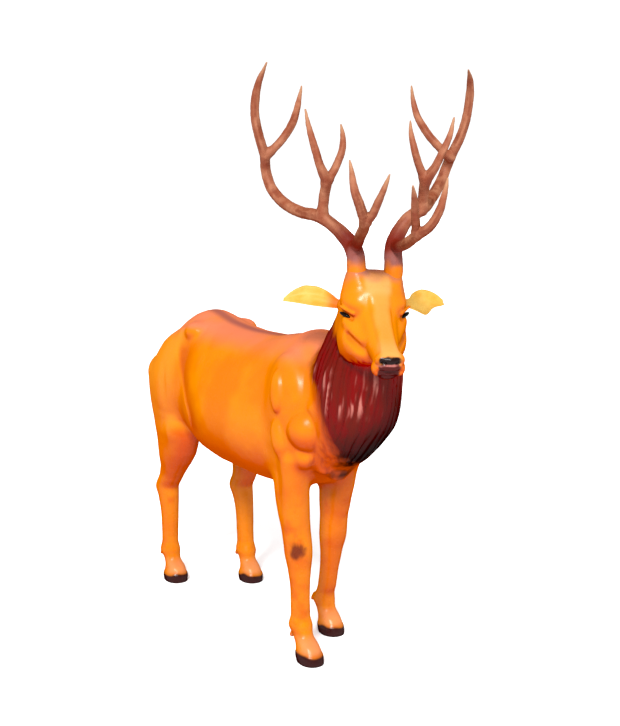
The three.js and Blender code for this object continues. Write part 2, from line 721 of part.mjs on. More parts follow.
function headSkin(form) {
  const depth = smoothCurve([[10, -78], [60, -84], [120, -80], [230, -52], [302, -30]], 1);
  const cuts = spread(10, 302, HEAD_RINGS).map((z) => {
    return { centre: placed(FACE, [0, depth(z), z]), across: FACE.x, upwards: FACE.y, along: FACE.z };
  });
  return domedSkin(form, "head", cuts, HEAD_SIDES, BODY_DOME);
}

// Rings up a leg. A hind leg's skin goes on over the ham, so its rings reach higher.
function legSkin(form, leg) {
  const ham = HAM_PATH.map(([z, x, y]) => [z, leg.side * x, y]);
  const path = leg.name === "hind" ? [...leg.path, ...ham] : leg.path;
  const x = smoothCurve(path, 1);
  const y = smoothCurve(path, 2);
  const end = path[path.length - 1][0];
  const cuts = LEG_RING_HEIGHTS.filter((z) => z < end - 5).map((z) => {
    return { centre: new THREE.Vector3(x(z), y(z), z), across: AXIS_X, upwards: AXIS_Y, along: AXIS_Z };
  });
  const rings = cuts.map((cut) => ringOfRays(form, leg, cut, LEG_SIDES));
  return solidFromRings(rings, cuts[0].centre, cuts[cuts.length - 1].centre);
}

// A round skin about a straight stub, such as the tail or the bony foot of an antler.
function stubSkin(form, region, from, to) {
  const along = to.clone().sub(from).normalize();
  const across = AXIS_X.clone().addScaledVector(along, -along.x).normalize();
  const upwards = new THREE.Vector3().crossVectors(along, across);
  const cuts = [0, 0.5, 1].map((t) => {
    return { centre: from.clone().lerp(to, t), across, upwards, along };
  });
  return domedSkin(form, region, cuts, STUB_SIDES, STUB_DOME);
}

// An ellipsoid solid for eyes, sockets and the cut of the mouth.
function ellipsoidSolid(frame, centre, radii, line, grow = 0) {
  const middle = placed(frame, centre);
  const first = turned(frame, line).normalize();
  const second = frame.y.clone().addScaledVector(first, -frame.y.dot(first)).normalize();
  const third = new THREE.Vector3().crossVectors(first, second);
  const rings = spread(-EYE_DOME, EYE_DOME, EYE_RINGS).map((degrees) => {
    const latitude = THREE.MathUtils.degToRad(degrees);
    return roundAngles(EYE_SIDES).map((angle) => {
      return middle.clone()
        .addScaledVector(first, (radii[0] + grow) * Math.sin(latitude))
        .addScaledVector(second, (radii[1] + grow) * Math.cos(latitude) * Math.cos(angle))
        .addScaledVector(third, (radii[2] + grow) * Math.cos(latitude) * Math.sin(angle));
    });
  });
  const reach = radii[0] + grow;
  const near = middle.clone().addScaledVector(first, -reach);
  const far = middle.clone().addScaledVector(first, reach);
  return solidFromRings(rings, near, far);
}

// Antlers: smooth tapering branches joined into one solid each.
function antlerPoint(side, [x, y, z, , unevenness]) {
  const lean = side * ANTLER_LEAN;
  const forwards = y - ANTLER_ROOT[1];
  const up = z + side * unevenness - ANTLER_ROOT[2];
  const leanedY = ANTLER_ROOT[1] + forwards * Math.cos(lean) + up * Math.sin(lean);
  const leanedZ = ANTLER_ROOT[2] + up * Math.cos(lean) - forwards * Math.sin(lean);
  return placed(HEAD, [side * x, leanedY, leanedZ]);
}

function branch(side, rows, grow = 0) {
  const curve = new THREE.CatmullRomCurve3(rows.map((row) => antlerPoint(side, row)));
  const radii = smoothCurve(rows.map((row, i) => [i, row[3]]), 1);
  const steps = Math.round((rows.length - 1) * RINGS_PER_ROW);
  const spine = spread(0, 1, steps + 1);
  const rings = [];
  let across = AXIS_X.clone();
  for (const t of spine) {
    const centre = curve.getPoint(t);
    const tangent = curve.getTangent(t);
    across = across.addScaledVector(tangent, -across.dot(tangent)).normalize().clone();
    const upwards = new THREE.Vector3().crossVectors(tangent, across);
    const radius = radii(t * (rows.length - 1)) + grow;
    rings.push(roundAngles(ANTLER_SIDES).map((angle) => {
      return centre.clone()
        .addScaledVector(across, radius * Math.cos(angle))
        .addScaledVector(upwards, radius * Math.sin(angle));
    }));
  }
  const first = curve.getPoint(0).addScaledVector(curve.getTangent(0), -grow - 1);
  const last = curve.getPoint(1).addScaledVector(curve.getTangent(1), grow + ANTLER_TIP_REACH);
  return solidFromRings(rings, first, last);
}

function antlerSolid(side) {
  const branches = [BEAM, BROW_TINE, BROW_BRANCH, MIDDLE_TINE, MIDDLE_BRANCH, TOP_BRANCH];
  return branches
    .map((rows) => branch(side, rows))
    .reduce((whole, piece) => whole.add(piece));
}

function antlerSocket(side) {
  return branch(side, BEAM.slice(0, 4), FIT_GAP);
}

// Ears: cupped leaves of leather with a narrow stem.
function earSolid(side, grow = 0) {
  const edges = EAR_EDGES[sideName(side)];
  const upper = smoothCurve(edges, 1);
  const lower = smoothCurve(edges, 2);
  const root = placed(HEAD, mirrored(side, EAR_ROOT));
  const tip = placed(HEAD, mirrored(side, EAR_TIP));
  const along = tip.clone().sub(root);
  const length = along.length();
  along.normalize();
  const facing = turned(HEAD, mirrored(side, EAR_FACING));
  facing.addScaledVector(along, -facing.dot(along)).normalize();
  const across = new THREE.Vector3().crossVectors(facing, along).multiplyScalar(side);
  const middleAt = (t, beyond = 0) => root.clone()
    .addScaledVector(along, length * t + beyond)
    .addScaledVector(across, (upper(t) + lower(t)) / 2);
  const rings = spread(0, 1, EAR_RINGS).map((t) => {
    const half = (upper(t) - lower(t)) / 2;
    const middle = middleAt(t);
    const ring = [];
    for (const face of SIDES) {
      for (const w of spread(-face, face, EAR_ROWS)) {
        const edge = 1 - 0.75 * w * w;
        const cup = EAR_CUP * half * (w * w - 0.5);
        const depth = cup + face * (EAR_THICKNESS / 2 + grow) * edge;
        ring.push(middle.clone()
          .addScaledVector(across, (half + grow) * w)
          .addScaledVector(facing, depth));
      }
    }
    return ring;
  });
  return solidFromRings(rings, middleAt(0, -1 - grow), middleAt(1, 2 + grow));
}

function eyeSolid(side, grow = 0) {
  const line = mirrored(side, EYE_LINE);
  return ellipsoidSolid(HEAD, mirrored(side, EYE_CENTRE), EYE_RADII, line, grow);
}

function bodySolid() {
  const form = stagForm();
  const skins = [bodySkin(form), headSkin(form)];
  for (const leg of LEGS) skins.push(legSkin(form, leg));
  const [tailRoot, tailEnd] = [TAIL_ROOT, TAIL_END].map((point) => placed(STAG, point));
  skins.push(stubSkin(form, "tail", tailRoot, tailEnd));
  for (const side of SIDES) {
    const [low, top] = [PEDICLE_LOW, PEDICLE_TOP].map((point) => placed(HEAD, mirrored(side, point)));
    skins.push(stubSkin(form, pedicleName(side), low, top));
  }
  let body = skins.reduce((whole, skin) => whole.add(skin));
  body = body.subtract(ellipsoidSolid(FACE, MOUTH_CENTRE, MOUTH_RADII, [1, 0, 0]));
  for (const side of SIDES) {
    body = body.subtract(antlerSocket(side));
    body = body.subtract(earSolid(side, FIT_GAP));
    body = body.subtract(eyeSolid(side, FIT_GAP));
  }
  return body;
}

function meshOf(name, solid, look) {
  const { vertProperties, triVerts } = solid.getMesh();
  const geometry = new THREE.BufferGeometry();
  geometry.setAttribute("position", new THREE.BufferAttribute(new Float32Array(vertProperties), 3));
  geometry.setIndex(new THREE.BufferAttribute(new Uint32Array(triVerts), 1));
  geometry.computeVertexNormals();
  const mesh = new THREE.Mesh(geometry, new THREE.MeshStandardMaterial(look));
  mesh.name = name;
  return mesh;
}

function buildStag() {
  const stag = new THREE.Group();
  stag.add(meshOf("body", bodySolid(), LEATHER));
  for (const side of SIDES) {
    const label = sideName(side);
    stag.add(meshOf(`antler_${label}`, antlerSolid(side), ANTLER));
    stag.add(meshOf(`ear_${label}`, earSolid(side), EAR_LEATHER));
    stag.add(meshOf(`eye_${label}`, eyeSolid(side), EYE_GLASS));
  }
  const box = new THREE.Box3().setFromObject(stag, true);
  const middle = box.getCenter(new THREE.Vector3());
  stag.position.set(-middle.x, -middle.y, -box.min.z);
  return stag;
}

export default buildStag();
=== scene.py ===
"""A standing stag covered in glossy orange leather, with a dark red mane and brown antlers.

The stag frame is in millimetres: x to the stag's left, y backwards, z up from the soles.
"""
import math

import bmesh
import bpy
import numpy as np
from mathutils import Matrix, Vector
from mathutils.kdtree import KDTree


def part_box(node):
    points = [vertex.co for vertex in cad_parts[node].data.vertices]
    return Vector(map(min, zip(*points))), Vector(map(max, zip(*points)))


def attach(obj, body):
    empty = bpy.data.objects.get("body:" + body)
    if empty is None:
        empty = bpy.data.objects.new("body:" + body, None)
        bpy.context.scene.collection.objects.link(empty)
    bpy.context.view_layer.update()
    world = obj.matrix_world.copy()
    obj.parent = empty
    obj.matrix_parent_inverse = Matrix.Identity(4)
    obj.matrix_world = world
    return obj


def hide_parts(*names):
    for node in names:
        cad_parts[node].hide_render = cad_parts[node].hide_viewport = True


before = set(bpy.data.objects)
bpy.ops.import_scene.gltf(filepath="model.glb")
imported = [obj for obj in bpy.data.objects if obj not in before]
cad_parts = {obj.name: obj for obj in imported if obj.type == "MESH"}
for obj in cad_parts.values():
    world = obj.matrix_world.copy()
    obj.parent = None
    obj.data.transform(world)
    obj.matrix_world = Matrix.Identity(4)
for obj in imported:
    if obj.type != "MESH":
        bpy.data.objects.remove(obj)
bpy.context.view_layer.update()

MM = 0.001
SIDES = (-1, 1)
LABELS = {1: "left", -1: "right"}
X_AXIS, Y_AXIS, Z_AXIS = np.eye(3)

# Grid size of the modelled form, and the most triangles in one piece.
BODY_CELL = 3.6
ANTLER_CELL = 2.6
BODY_TRIANGLES = 185_000
ANTLER_TRIANGLES = 60_000

# The camera, worked out from the feet and the horizon, in the stag frame.
CAMERA_PLACE = (-1913.0, -3380.0, 1464.0)
CAMERA_TILT = math.radians(81.0)
CAMERA_HEADING = math.radians(-31.8)
FOCAL_LENGTH_PX = 1200.0
PICTURE_LONG_SIDE_PX = 726.0
SENSOR_MM = 36.0

# Trunk and neck sections: [along, one end, other end, half width].
TRUNK = [
    (-545, 800, 720, 40), (-510, 880, 655, 78), (-440, 960, 575, 120), (-350, 1000, 524, 152),
    (-250, 978, 503, 176), (-110, 958, 498, 196), (30, 956, 502, 200), (160, 965, 510, 190),
    (270, 985, 542, 170), (350, 993, 600, 155), (440, 960, 650, 138), (510, 905, 700, 105),
    (560, 845, 760, 55),
]
NECK = [
    (560, -470, -445, 18), (595, -495, -390, 58), (636, -558, -355, 87), (688, -614, -360, 108),
    (752, -668, -385, 120), (814, -688, -395, 124), (886, -695, -410, 120), (945, -700, -430, 110),
    (1003, -698, -462, 92), (1034, -694, -492, 87), (1074, -690, -512, 80), (1130, -690, -528, 68),
    (1165, -680, -545, 52), (1180, -660, -570, 28),
]

# Leg thickness by height, [z, half width, half depth], and centre lines, [z, x, y].
FORELEG = [
    (0, 36, 46), (20, 38, 47), (48, 33, 41), (76, 29, 33), (102, 34, 39), (135, 28, 31),
    (200, 28, 31), (270, 33, 35), (335, 42, 43), (390, 42, 46), (450, 45, 55), (520, 47, 64),
    (600, 43, 70), (660, 30, 50),
]
HIND_LEG = [
    (0, 38, 48), (20, 40, 49), (48, 34, 41), (76, 28, 32), (103, 34, 40), (140, 28, 33),
    (240, 30, 36), (300, 34, 44), (336, 38, 52), (380, 38, 54), (420, 42, 64), (460, 48, 80),
    (500, 53, 94), (560, 56, 106), (620, 40, 80),
]
FORELEG_RIGHT = [
    (0, -95, -450), (48, -95, -435), (76, -96, -410), (102, -96, -395), (200, -97, -394),
    (335, -98, -386), (450, -101, -364), (520, -102, -355), (600, -105, -350), (660, -110, -350),
]
FORELEG_LEFT = [
    (0, 90, -280), (48, 90, -269), (76, 90, -248), (102, 90, -235), (150, 90, -253),
    (200, 90, -264), (335, 90, -287), (450, 90, -298), (520, 92, -309), (600, 96, -325),
    (660, 103, -340),
]
HIND_RIGHT = [
    (0, -115, 448), (48, -115, 452), (76, -115, 474), (103, -115, 490), (240, -115, 489),
    (300, -115, 496), (336, -115, 506), (380, -115, 475), (420, -117, 443), (460, -119, 414),
    (500, -122, 392), (560, -126, 378), (620, -128, 388),
]
HIND_LEFT = [
    (0, 116, 302), (48, 116, 307), (76, 117, 330), (103, 119, 343), (240, 121, 355),
    (300, 122, 368), (336, 122, 381), (380, 123, 359), (420, 124, 347), (460, 125, 343),
    (500, 127, 348), (560, 130, 362), (620, 130, 385),
]
# [fore or hind, side, thickness, centre line, dewclaw height]
LEGS = [
    ("fore", -1, FORELEG, FORELEG_RIGHT, 74), ("fore", 1, FORELEG, FORELEG_LEFT, 100),
    ("hind", -1, HIND_LEG, HIND_RIGHT, 92), ("hind", 1, HIND_LEG, HIND_LEFT, 92),
]

# The left foreleg stands further back, and the muscles of its shoulder lie further back too.
LEFT_SHOULDER_BACK = 38

# Head frame: x to the head's left, y forwards, z up, from the poll. Face frame: z down the face.
HEAD_TURN = math.radians(22.8)
HEAD_ROLL = math.radians(-1.1)
POLL = np.array([-8.0, -624.0, 1200.5])
BROW_POINT = (0, 60, 10)
FACE_SLOPE = math.radians(-46)
FACE_SWAY = 0.022
SKULL = [
    (-256, 110, 30, 44), (-243, 160, 0, 64), (-215, 170, -25, 80), (-173, 152, -48, 88),
    (-130, 136, -55, 87), (-95, 129, -60, 78), (-60, 127, -62, 66), (-35, 113, -55, 58),
    (-18, 98, -40, 54), (-7, 84, -10, 44), (-1, 65, 20, 24),
]
MUZZLE = [
    (80, 2, -90, 48), (130, -12, -120, 54), (170, -15, -125, 51), (215, -12, -108, 44),
    (255, -6, -88, 38), (290, 0, -72, 36), (308, 0, -62, 36), (322, -8, -52, 32),
    (332, -20, -42, 20),
]
BRIDGE = [
    (60, 4, -40, 30), (100, 2, -40, 29), (130, -6, -45, 28), (170, -8, -45, 26),
    (215, -4, -40, 24), (255, 2, -35, 23), (292, 8, -30, 25), (302, 6, -26, 24),
]

# Antler branches in the head frame for a left antler: [x, y, z, radius, unevenness].
# The unevenness raises the row on the left antler and lowers it on the right.
ANTLER_LEAN = math.radians(2.8)
ANTLER_ROOT = (51.6, 67.3, 16.5)
BEAM = [
    (50, 70, -14, 26, 0), (52, 68, 7, 26, 0), (53, 52, 47, 25, 2), (64, 28, 79, 22, 4),
    (99, 15, 125, 18.5, 11), (141, 6, 154, 17, 10), (183, -79, 170, 16.5, 12),
    (225, -164, 199, 16, 10), (254, -207, 238, 15.5, 6), (268, -214, 280, 14.5, -1),
    (275, -190, 318, 14, -3), (292, -176, 366, 13.5, -4), (305, -167, 421, 13, -2),
    (307, -154, 474, 12, 1), (300, -132, 518, 9.5, -2), (282, -94, 559, 2.5, -11),
]
BROW_TINE = [
    (57, 50, 62, 15, 2), (55, 80, 68, 15, -1), (60, 155, 87, 14.5, -6), (68, 248, 120, 14, -6),
    (91, 293, 157, 12.5, -13), (108, 312, 195, 10.5, -10), (117, 321, 238, 7, -8),
    (123, 320, 273, 2.5, -7),
]
BROW_BRANCH = [
    (68, 246, 119, 12, -5), (56, 277, 148, 11.5, 3), (46, 303, 183, 10, 6), (36, 330, 217, 7, 4),
    (27, 349, 246, 2.5, 0),
]
MIDDLE_TINE = [
    (139, 7, 152, 15, 9), (137, 27, 203, 14.5, 4), (136, 54, 242, 14.5, 3),
    (156, 71, 282, 11.5, 2), (174, 81, 330, 10, -1), (189, 83, 373, 7.5, -4), (199, 79, 421, 2.5, -6),
]
MIDDLE_BRANCH = [
    (136, 50, 238, 13, 3), (113, 61, 280, 11, 4), (96, 69, 326, 9.5, 3), (91, 48, 364, 7, 2),
    (92, 24, 399, 2.5, 4),
]
TOP_BRANCH = [
    (270, -190, 309, 12, -11), (229, -177, 347, 12, -16), (197, -196, 389, 11.5, -19),
    (176, -236, 436, 10, -19), (166, -256, 477, 7, -15), (159, -256, 516, 2.5, -13),
]
BRANCHES = (BEAM, BROW_TINE, BROW_BRANCH, MIDDLE_TINE, MIDDLE_BRANCH, TOP_BRANCH)

# Ears and eyes in the head frame.
EAR_ROOT = (68, -12, -100)
EAR_TIP = (232, -72, -96)
EAR_FACING = (0.2, 0.83, 0.5)
# Upper and lower edge of each ear above the line from root to tip: [share, up, down].
EAR_EDGES = {
    1: [
        (0, 10, -10), (0.2, 10, -11), (0.34, 12, -22), (0.42, 25, -31), (0.55, 34, -45),
        (0.63, 36, -39), (0.72, 34, -27), (0.82, 28, -21), (0.92, 17, -19), (1, 3, -15),
    ],
    -1: [
        (0, 9, -13), (0.1, 12, -17), (0.2, 24, -17), (0.35, 39, -16.5), (0.5, 47, -15),
        (0.65, 48, -12), (0.8, 38, -8.5), (0.92, 22, -6), (1, 6, -4),
    ],
}
EAR_THICKNESS = 7
EAR_CUP = 0.4
EAR_FOLD = 1.2
EAR_RINGS = 45
EAR_ROWS = 15

EYE_CENTRE = (83, 88, -120)
EYE_RADII = (19, 9, 6)
EYE_LINE = (24, -21, 11)
EYE_RINGS = 17
EYE_SIDES = 32

# Where the mane ends towards the shoulder: [z, y] in the stag frame, with its lowest point.
MANE_EDGE = [
    (560, -455), (577, -473), (601, -502), (647, -545), (705, -562), (755, -558), (803, -541),
    (851, -515), (890, -462), (918, -442), (950, -436), (1000, -455), (1060, -480), (1130, -520),
    (1200, -600),
]
MANE_LOWEST = 568

# The lower edge of the orange jaw in the head frame, [y, z]; below it the throat is red.
JAW_EDGE = [
    (-140, -30), (-60, -130), (-32, -168), (18, -197), (53, -230), (84, -247), (157, -240),
    (200, -252), (250, -270), (300, -285),
]

# The stumps that carry the antlers are thicker on the stag's right: [at the skull, at the top].
PEDICLE_RADII = {1: (33, 22), -1: (42, 28)}

# The pale stripe down the face, in the face frame: [z, half width, strength].
FACE_STRIPE = [
    (0, 12, 0), (22, 26, 0.5), (50, 36, 1), (85, 35, 1), (112, 26, 0.5), (150, 21, 0.5),
    (240, 22, 0.4), (285, 26, 0.8), (302, 27, 0.8),
]

# The front edge of the haunch, [z, y] in the stag frame, and how deep the flank dips before it.
HAUNCH_EDGE = [(560, 225), (592, 184), (655, 165), (715, 200), (778, 256), (895, 322), (935, 334)]
HAUNCH_STEP = 5
HAUNCH_FADE = 150

# Relief of the mane: lock and strand width and height, and the radius the locks are laid out on.
LOCK_WIDTH = 25
LOCK_HEIGHT = 5.5
STRAND_WIDTH = 10
STRAND_HEIGHT = 1.6
MANE_RADIUS = 125

# A paint mark in the stag frame; the top of the hooves and how far they stand out.
KNEE_STAIN = (-121, -419, 346)
KNEE_STAIN_SIZE = 24
HOOF_TOP = 29
HOOF_RIM = 1.3

# The studio: strengths in Blender's units, places and sizes in metres.
FLOOR_HALF = 30.0
WORLD_STRENGTH = 1.12
SUN_TOWARDS = (-0.62, -0.62, 0.72)
SUN_STRENGTH = 4.2
SUN_SPREAD = math.radians(12)
LAMP_PLACE = (-1.5, -3.1, 2.5)
LAMP_TARGET = (0, 0, 0.8)
LAMP_SIZE = 0.4
LAMP_POWER = 70


# Vectors, and frames, each an origin and three axes.
def unit(vector):
    return vector / np.linalg.norm(vector)


def square_to(axis, vector):
    """The part of a vector at right angles to an axis, with length one."""
    return unit(vector - (vector @ axis) * axis)


def head_frame():
    forwards = np.array([-math.sin(HEAD_TURN), -math.cos(HEAD_TURN), 0.0])
    left = np.array([math.cos(HEAD_TURN), -math.sin(HEAD_TURN), 0.0])
    rolled = left * math.cos(HEAD_ROLL) + Z_AXIS * math.sin(HEAD_ROLL)
    up = Z_AXIS * math.cos(HEAD_ROLL) - left * math.sin(HEAD_ROLL)
    return POLL, rolled, forwards, up


def face_frame(head):
    forwards = unit(head[2] + FACE_SWAY * head[1])
    left = np.cross(head[3], forwards)
    down = forwards * math.cos(FACE_SLOPE) + head[3] * math.sin(FACE_SLOPE)
    out = head[3] * math.cos(FACE_SLOPE) - forwards * math.sin(FACE_SLOPE)
    return placed(head, BROW_POINT), left, out, down


def turned(axes, vector):
    return vector[0] * axes[1] + vector[1] * axes[2] + vector[2] * axes[3]


def placed(axes, point):
    return axes[0] + turned(axes, point)


def inside_frame(axes, points):
    away = points - axes[0]
    return np.stack([away @ axes[1], away @ axes[2], away @ axes[3]], axis=1)


STAG = (np.zeros(3), X_AXIS, Y_AXIS, Z_AXIS)
ALONG_BACK = (np.zeros(3), X_AXIS, Z_AXIS, Y_AXIS)
HEAD = head_frame()
FACE = face_frame(HEAD)


def smooth_curve(rows, column, where):
    """A smooth curve through table rows that never overshoots between two rows."""
    at = np.array([row[0] for row in rows], float)
    value = np.array([row[column] for row in rows], float)
    step = np.diff(at)
    rise = np.diff(value) / step
    slope = np.zeros(len(at))
    slope[0], slope[-1] = rise[0], rise[-1]
    for i in range(1, len(at) - 1):
        if rise[i - 1] * rise[i] > 0:
            slope[i] = 2 * rise[i - 1] * rise[i] / (rise[i - 1] + rise[i])
    x = np.clip(where, at[0], at[-1])
    i = np.clip(np.searchsorted(at, x, side="right") - 1, 0, len(step) - 1)
    t = (x - at[i]) / step[i]
    rest = 1 - t
    return (
        (1 + 2 * t) * rest**2 * value[i] + t * rest**2 * step[i] * slope[i]
        + t**2 * (3 - 2 * t) * value[i + 1] - t**2 * rest * step[i] * slope[i + 1]
    )


def smooth_min(a, b, blend):
    overlap = np.maximum(blend - np.abs(a - b), 0) / blend
    return np.minimum(a, b) - overlap * overlap * (blend / 4)


def smooth_step(value, low, high):
    t = np.clip((value - low) / (high - low), 0, 1)
    return t * t * (3 - 2 * t)


def band(value, start, full, fading, end):
    """One between full and fading, and nothing before start and after end."""
    return smooth_step(value, start, full) * smooth_step(-value, -end, -fading)


def corner_blend(grid, low, share):
    """Grid values blended between the eight corners round each point; the grid repeats."""
    total = np.zeros(len(share))
    for corner in np.ndindex(2, 2, 2):
        weight = np.prod(np.where(corner, share, 1 - share), axis=1)
        total += weight * grid[tuple(((low + corner) % grid.shape).T)]
    return total


# Shapes: a distance function (negative inside) and the box round it.
def limb(axes, rows, roundness, egg=0.0):
    """Oval sections across the frame's z axis: rows are [z, x, y, half width, half depth]."""
    start, end = rows[0][0], rows[-1][0]
    corners = np.array([
        placed(axes, (x + a * half_x, y + b * half_y, z))
        for z, x, y, half_x, half_y in rows for a in SIDES for b in SIDES
    ])
    fine = np.linspace(start, end, 700)
    columns = [smooth_curve(rows, column, fine) for column in (1, 2, 3, 4)]

    def distance(x, y, z):
        dx, dy, dz = x - axes[0][0], y - axes[0][1], z - axes[0][2]
        a, b, c = (axis[0] * dx + axis[1] * dy + axis[2] * dz for axis in axes[1:])
        at_x, at_y, half_x, half_y = (np.interp(c, fine, column) for column in columns)
        a, b = a - at_x, b - at_y
        half_x = half_x * (1 - egg * np.clip(b / half_y, -1, 1))
        ratio = (np.abs(a) / half_x) ** roundness + (np.abs(b) / half_y) ** roundness
        ratio = ratio ** (1 / roundness) + 1e-5
        radius = np.sqrt(a * a + b * b) + 1e-4
        across = np.maximum(radius * (1 - 1 / ratio), -np.minimum(half_x, half_y))
        beyond = np.maximum(start - c, c - end)
        rounded = np.sqrt(np.maximum(across, 0) ** 2 + np.maximum(beyond, 0) ** 2)
        return np.where(beyond > 0, rounded, across)

    return distance, corners.min(0) - 24, corners.max(0) + 24


def sectioned(rows):
    return [(z, 0, (a + b) / 2, half, abs(a - b) / 2) for z, a, b, half in rows]


def muscle(axes, centre, radii, aim=(0, 0, 1)):
    """An ellipsoid with its third radius along aim."""
    middle = placed(axes, centre)
    radii = np.array(radii, float)
    third = unit(turned(axes, aim))
    first = square_to(third, axes[1])
    own = np.array([first, np.cross(third, first), third])
    extent = np.sqrt(((own * radii[:, None]) ** 2).sum(0))

    def distance(x, y, z):
        dx, dy, dz = x - middle[0], y - middle[1], z - middle[2]
        parts = [(a[0] * dx + a[1] * dy + a[2] * dz) / r for a, r in zip(own, radii)]
        near = np.sqrt(sum(part * part for part in parts))
        slope = np.sqrt(sum((part / r) ** 2 for part, r in zip(parts, radii))) + 1e-9
        return near * (near - 1) / slope

    return distance, middle - extent - 4, middle + extent + 4


def rod(axes, start, end, radius_start, radius_end):
    """A rounded rod whose radius changes from one end to the other."""
    return world_rod(placed(axes, start), placed(axes, end), radius_start, radius_end)


def world_rod(a, b, radius_a, radius_b):
    along = b - a
    length2 = along @ along

    def distance(x, y, z):
        dx, dy, dz = x - a[0], y - a[1], z - a[2]
        t = np.clip((dx * along[0] + dy * along[1] + dz * along[2]) / length2, 0, 1)
        dx, dy, dz = dx - t * along[0], dy - t * along[1], dz - t * along[2]
        return np.sqrt(dx * dx + dy * dy + dz * dz) - (radius_a + (radius_b - radius_a) * t)

    margin = max(radius_a, radius_b) + 4
    return distance, np.minimum(a, b) - margin, np.maximum(a, b) + margin


class Form:
    """A soft union of shapes and soft cuts, kept as distances on a grid."""

    def __init__(self, low, high, cell):
        self.low = np.array(low, float)
        self.cell = cell
        counts = np.ceil((np.array(high) - self.low) / cell).astype(int) + 1
        self.axes = [self.low[i] + cell * np.arange(counts[i]) for i in range(3)]
        self.distance = np.full(counts, 1000.0, np.float32)

    def near(self, low, high):
        slices = []
        for i in range(3):
            first = max(0, int((low[i] - self.low[i]) // self.cell))
            last = min(len(self.axes[i]), int((high[i] - self.low[i]) // self.cell) + 2)
            slices.append(slice(first, max(first, last)))
        x, y, z = (self.axes[i][slices[i]].astype(np.float32) for i in range(3))
        return tuple(slices), x[:, None, None], y[None, :, None], z[None, None, :]

    def add(self, shape, blend=0.01, cuts=False):
        distance, low, high = shape
        part, x, y, z = self.near(low - blend, high + blend)
        if self.distance[part].size == 0:
            return
        here = distance(x, y, z).astype(np.float32)
        if cuts:
            self.distance[part] = -smooth_min(-self.distance[part], here, blend)
        else:
            self.distance[part] = smooth_min(self.distance[part], here, blend)

    def sample(self, points):
        """The distance at any point, blended between grid points."""
        where = (points - self.low) / self.cell
        base = np.clip(np.floor(where).astype(int), 0, np.array(self.distance.shape) - 2)
        return corner_blend(self.distance, base, np.clip(where - base, 0, 1))


def leg_rows(thickness, path):
    heights = np.array(sorted({row[0] for row in thickness} | {row[0] for row in path}), float)
    return list(zip(
        heights, smooth_curve(path, 1, heights), smooth_curve(path, 2, heights),
        smooth_curve(thickness, 1, heights), smooth_curve(thickness, 2, heights),
    ))


def on_path(path, z):
    return float(smooth_curve(path, 1, z)), float(smooth_curve(path, 2, z))


def mirrored(side, *point):
    return side * point[0], point[1], point[2]


# Roundness of the sections, 2 for an ellipse, and how softly each body blends in.
TRUNK_ROUNDNESS, TRUNK_EGG = 2.15, 0.16
NECK_ROUNDNESS, NECK_BLEND = 2.1, 50
LEG_ROUNDNESS, LEG_BLEND = 2.2, 45
HEAD_BODIES = ((HEAD, SKULL, 2.4, 30), (FACE, MUZZLE, 2.3, 16), (FACE, BRIDGE, 4, 6))

# Muscles, bones and creases on the left side, in the order they are added:
# [frame, "lobe" or "hole", centre, radii, direction of the third radius, blend] and
# [frame, "rod" or "crease", one end, other end, radii at the ends, blend].
UP = (0, 0, 1)
TRUNK_SIDE = [
    (STAG, "rod", (98, 518, 760), (116, 438, 485), (70, 38), 50),
    (STAG, "lobe", (110, 400, 725), (88, 138, 190), (0, -0.22, 1), 40),
    (STAG, "lobe", (112, -372, 765), (56, 88, 170), (0, 0.12, 1), 40),
]
TAIL = [(STAG, "rod", (0, 540, 862), (0, 594, 738), (25, 14), 18)]
SHOULDER = [
    (STAG, "lobe", (108, -394, 862), (30, 38, 90), (0.29, -0.49, -0.82), 12),
    (STAG, "crease", (174, -415, 779), (140, -507, 789), (8, 8), 10),
    (STAG, "lobe", (101, -448, 722), (64, 66, 68), UP, 5),
    (STAG, "lobe", (108, -440, 634), (29, 30, 32), UP, 14),
    (STAG, "lobe", (160, -371, 830), (21, 27, 64), (0.17, -0.22, -0.96), 9),
    (STAG, "lobe", (160, -383, 688), (25, 31, 60), (-0.08, -0.16, -0.96), 8),
    (STAG, "rod", (98, -498, 790), (56, -462, 600), (24, 16), 22),
]
HAUNCH = [
    (STAG, "lobe", (112, 340, 888), (18, 20, 46), (0, 0.25, 1), 24),
    (STAG, "lobe", (92, 288, 926), (42, 48, 36), UP, 18),
    (STAG, "crease", (208, 360, 810), (210, 352, 676), (14, 14), 18),
    (STAG, "lobe", (150, 346, 584), (26, 29, 38), UP, 30),
    (STAG, "crease", (172, 280, 530), (198, 345, 535), (9, 9), 12),
]
BROW_AND_CHEEK = [
    (HEAD, "lobe", (47, 92, -86), (37, 36, 30), (0, 0.3, 1), 24),
    (HEAD, "lobe", (58, 50, -196), (36, 70, 58), UP, 14),
    (HEAD, "rod", (72, 84, -138), (42, 150, -180), (16, 12), 18),
    (FACE, "lobe", (22, -12, 304), (18, 18, 18), UP, 8),
    (FACE, "lobe", (30, -40, 310), (15, 20, 22), UP, 8),
]
EAR_ROOT_AND_CREASE = [
    (HEAD, "rod", (58, -10, -92), (76, -10, -102), (22, 13), 14),
    (HEAD, "crease", (80, 108, -174), (53, 166, -208), (6, 6), 14),
]
CHIN_NOSE_AND_MOUTH = [
    (FACE, "lobe", (0, -56, 308), (30, 24, 24), UP, 10),
    (FACE, "lobe", (0, -8, 312), (23, 15, 13), UP, 6),
    (FACE, "crease", (-30, -31, 331), (30, -31, 331), (6, 6), 6),
]
EYELIDS_AND_NOSTRIL = [
    (HEAD, "crease", (70, 112, -127), (99, 76, -111), (6, 5), 5),
    (HEAD, "rod", (66, 116, -113), (96, 84, -97), (5, 4), 6),
    (FACE, "hole", (20, -7, 322), (9, 6, 9), UP, 3),
]

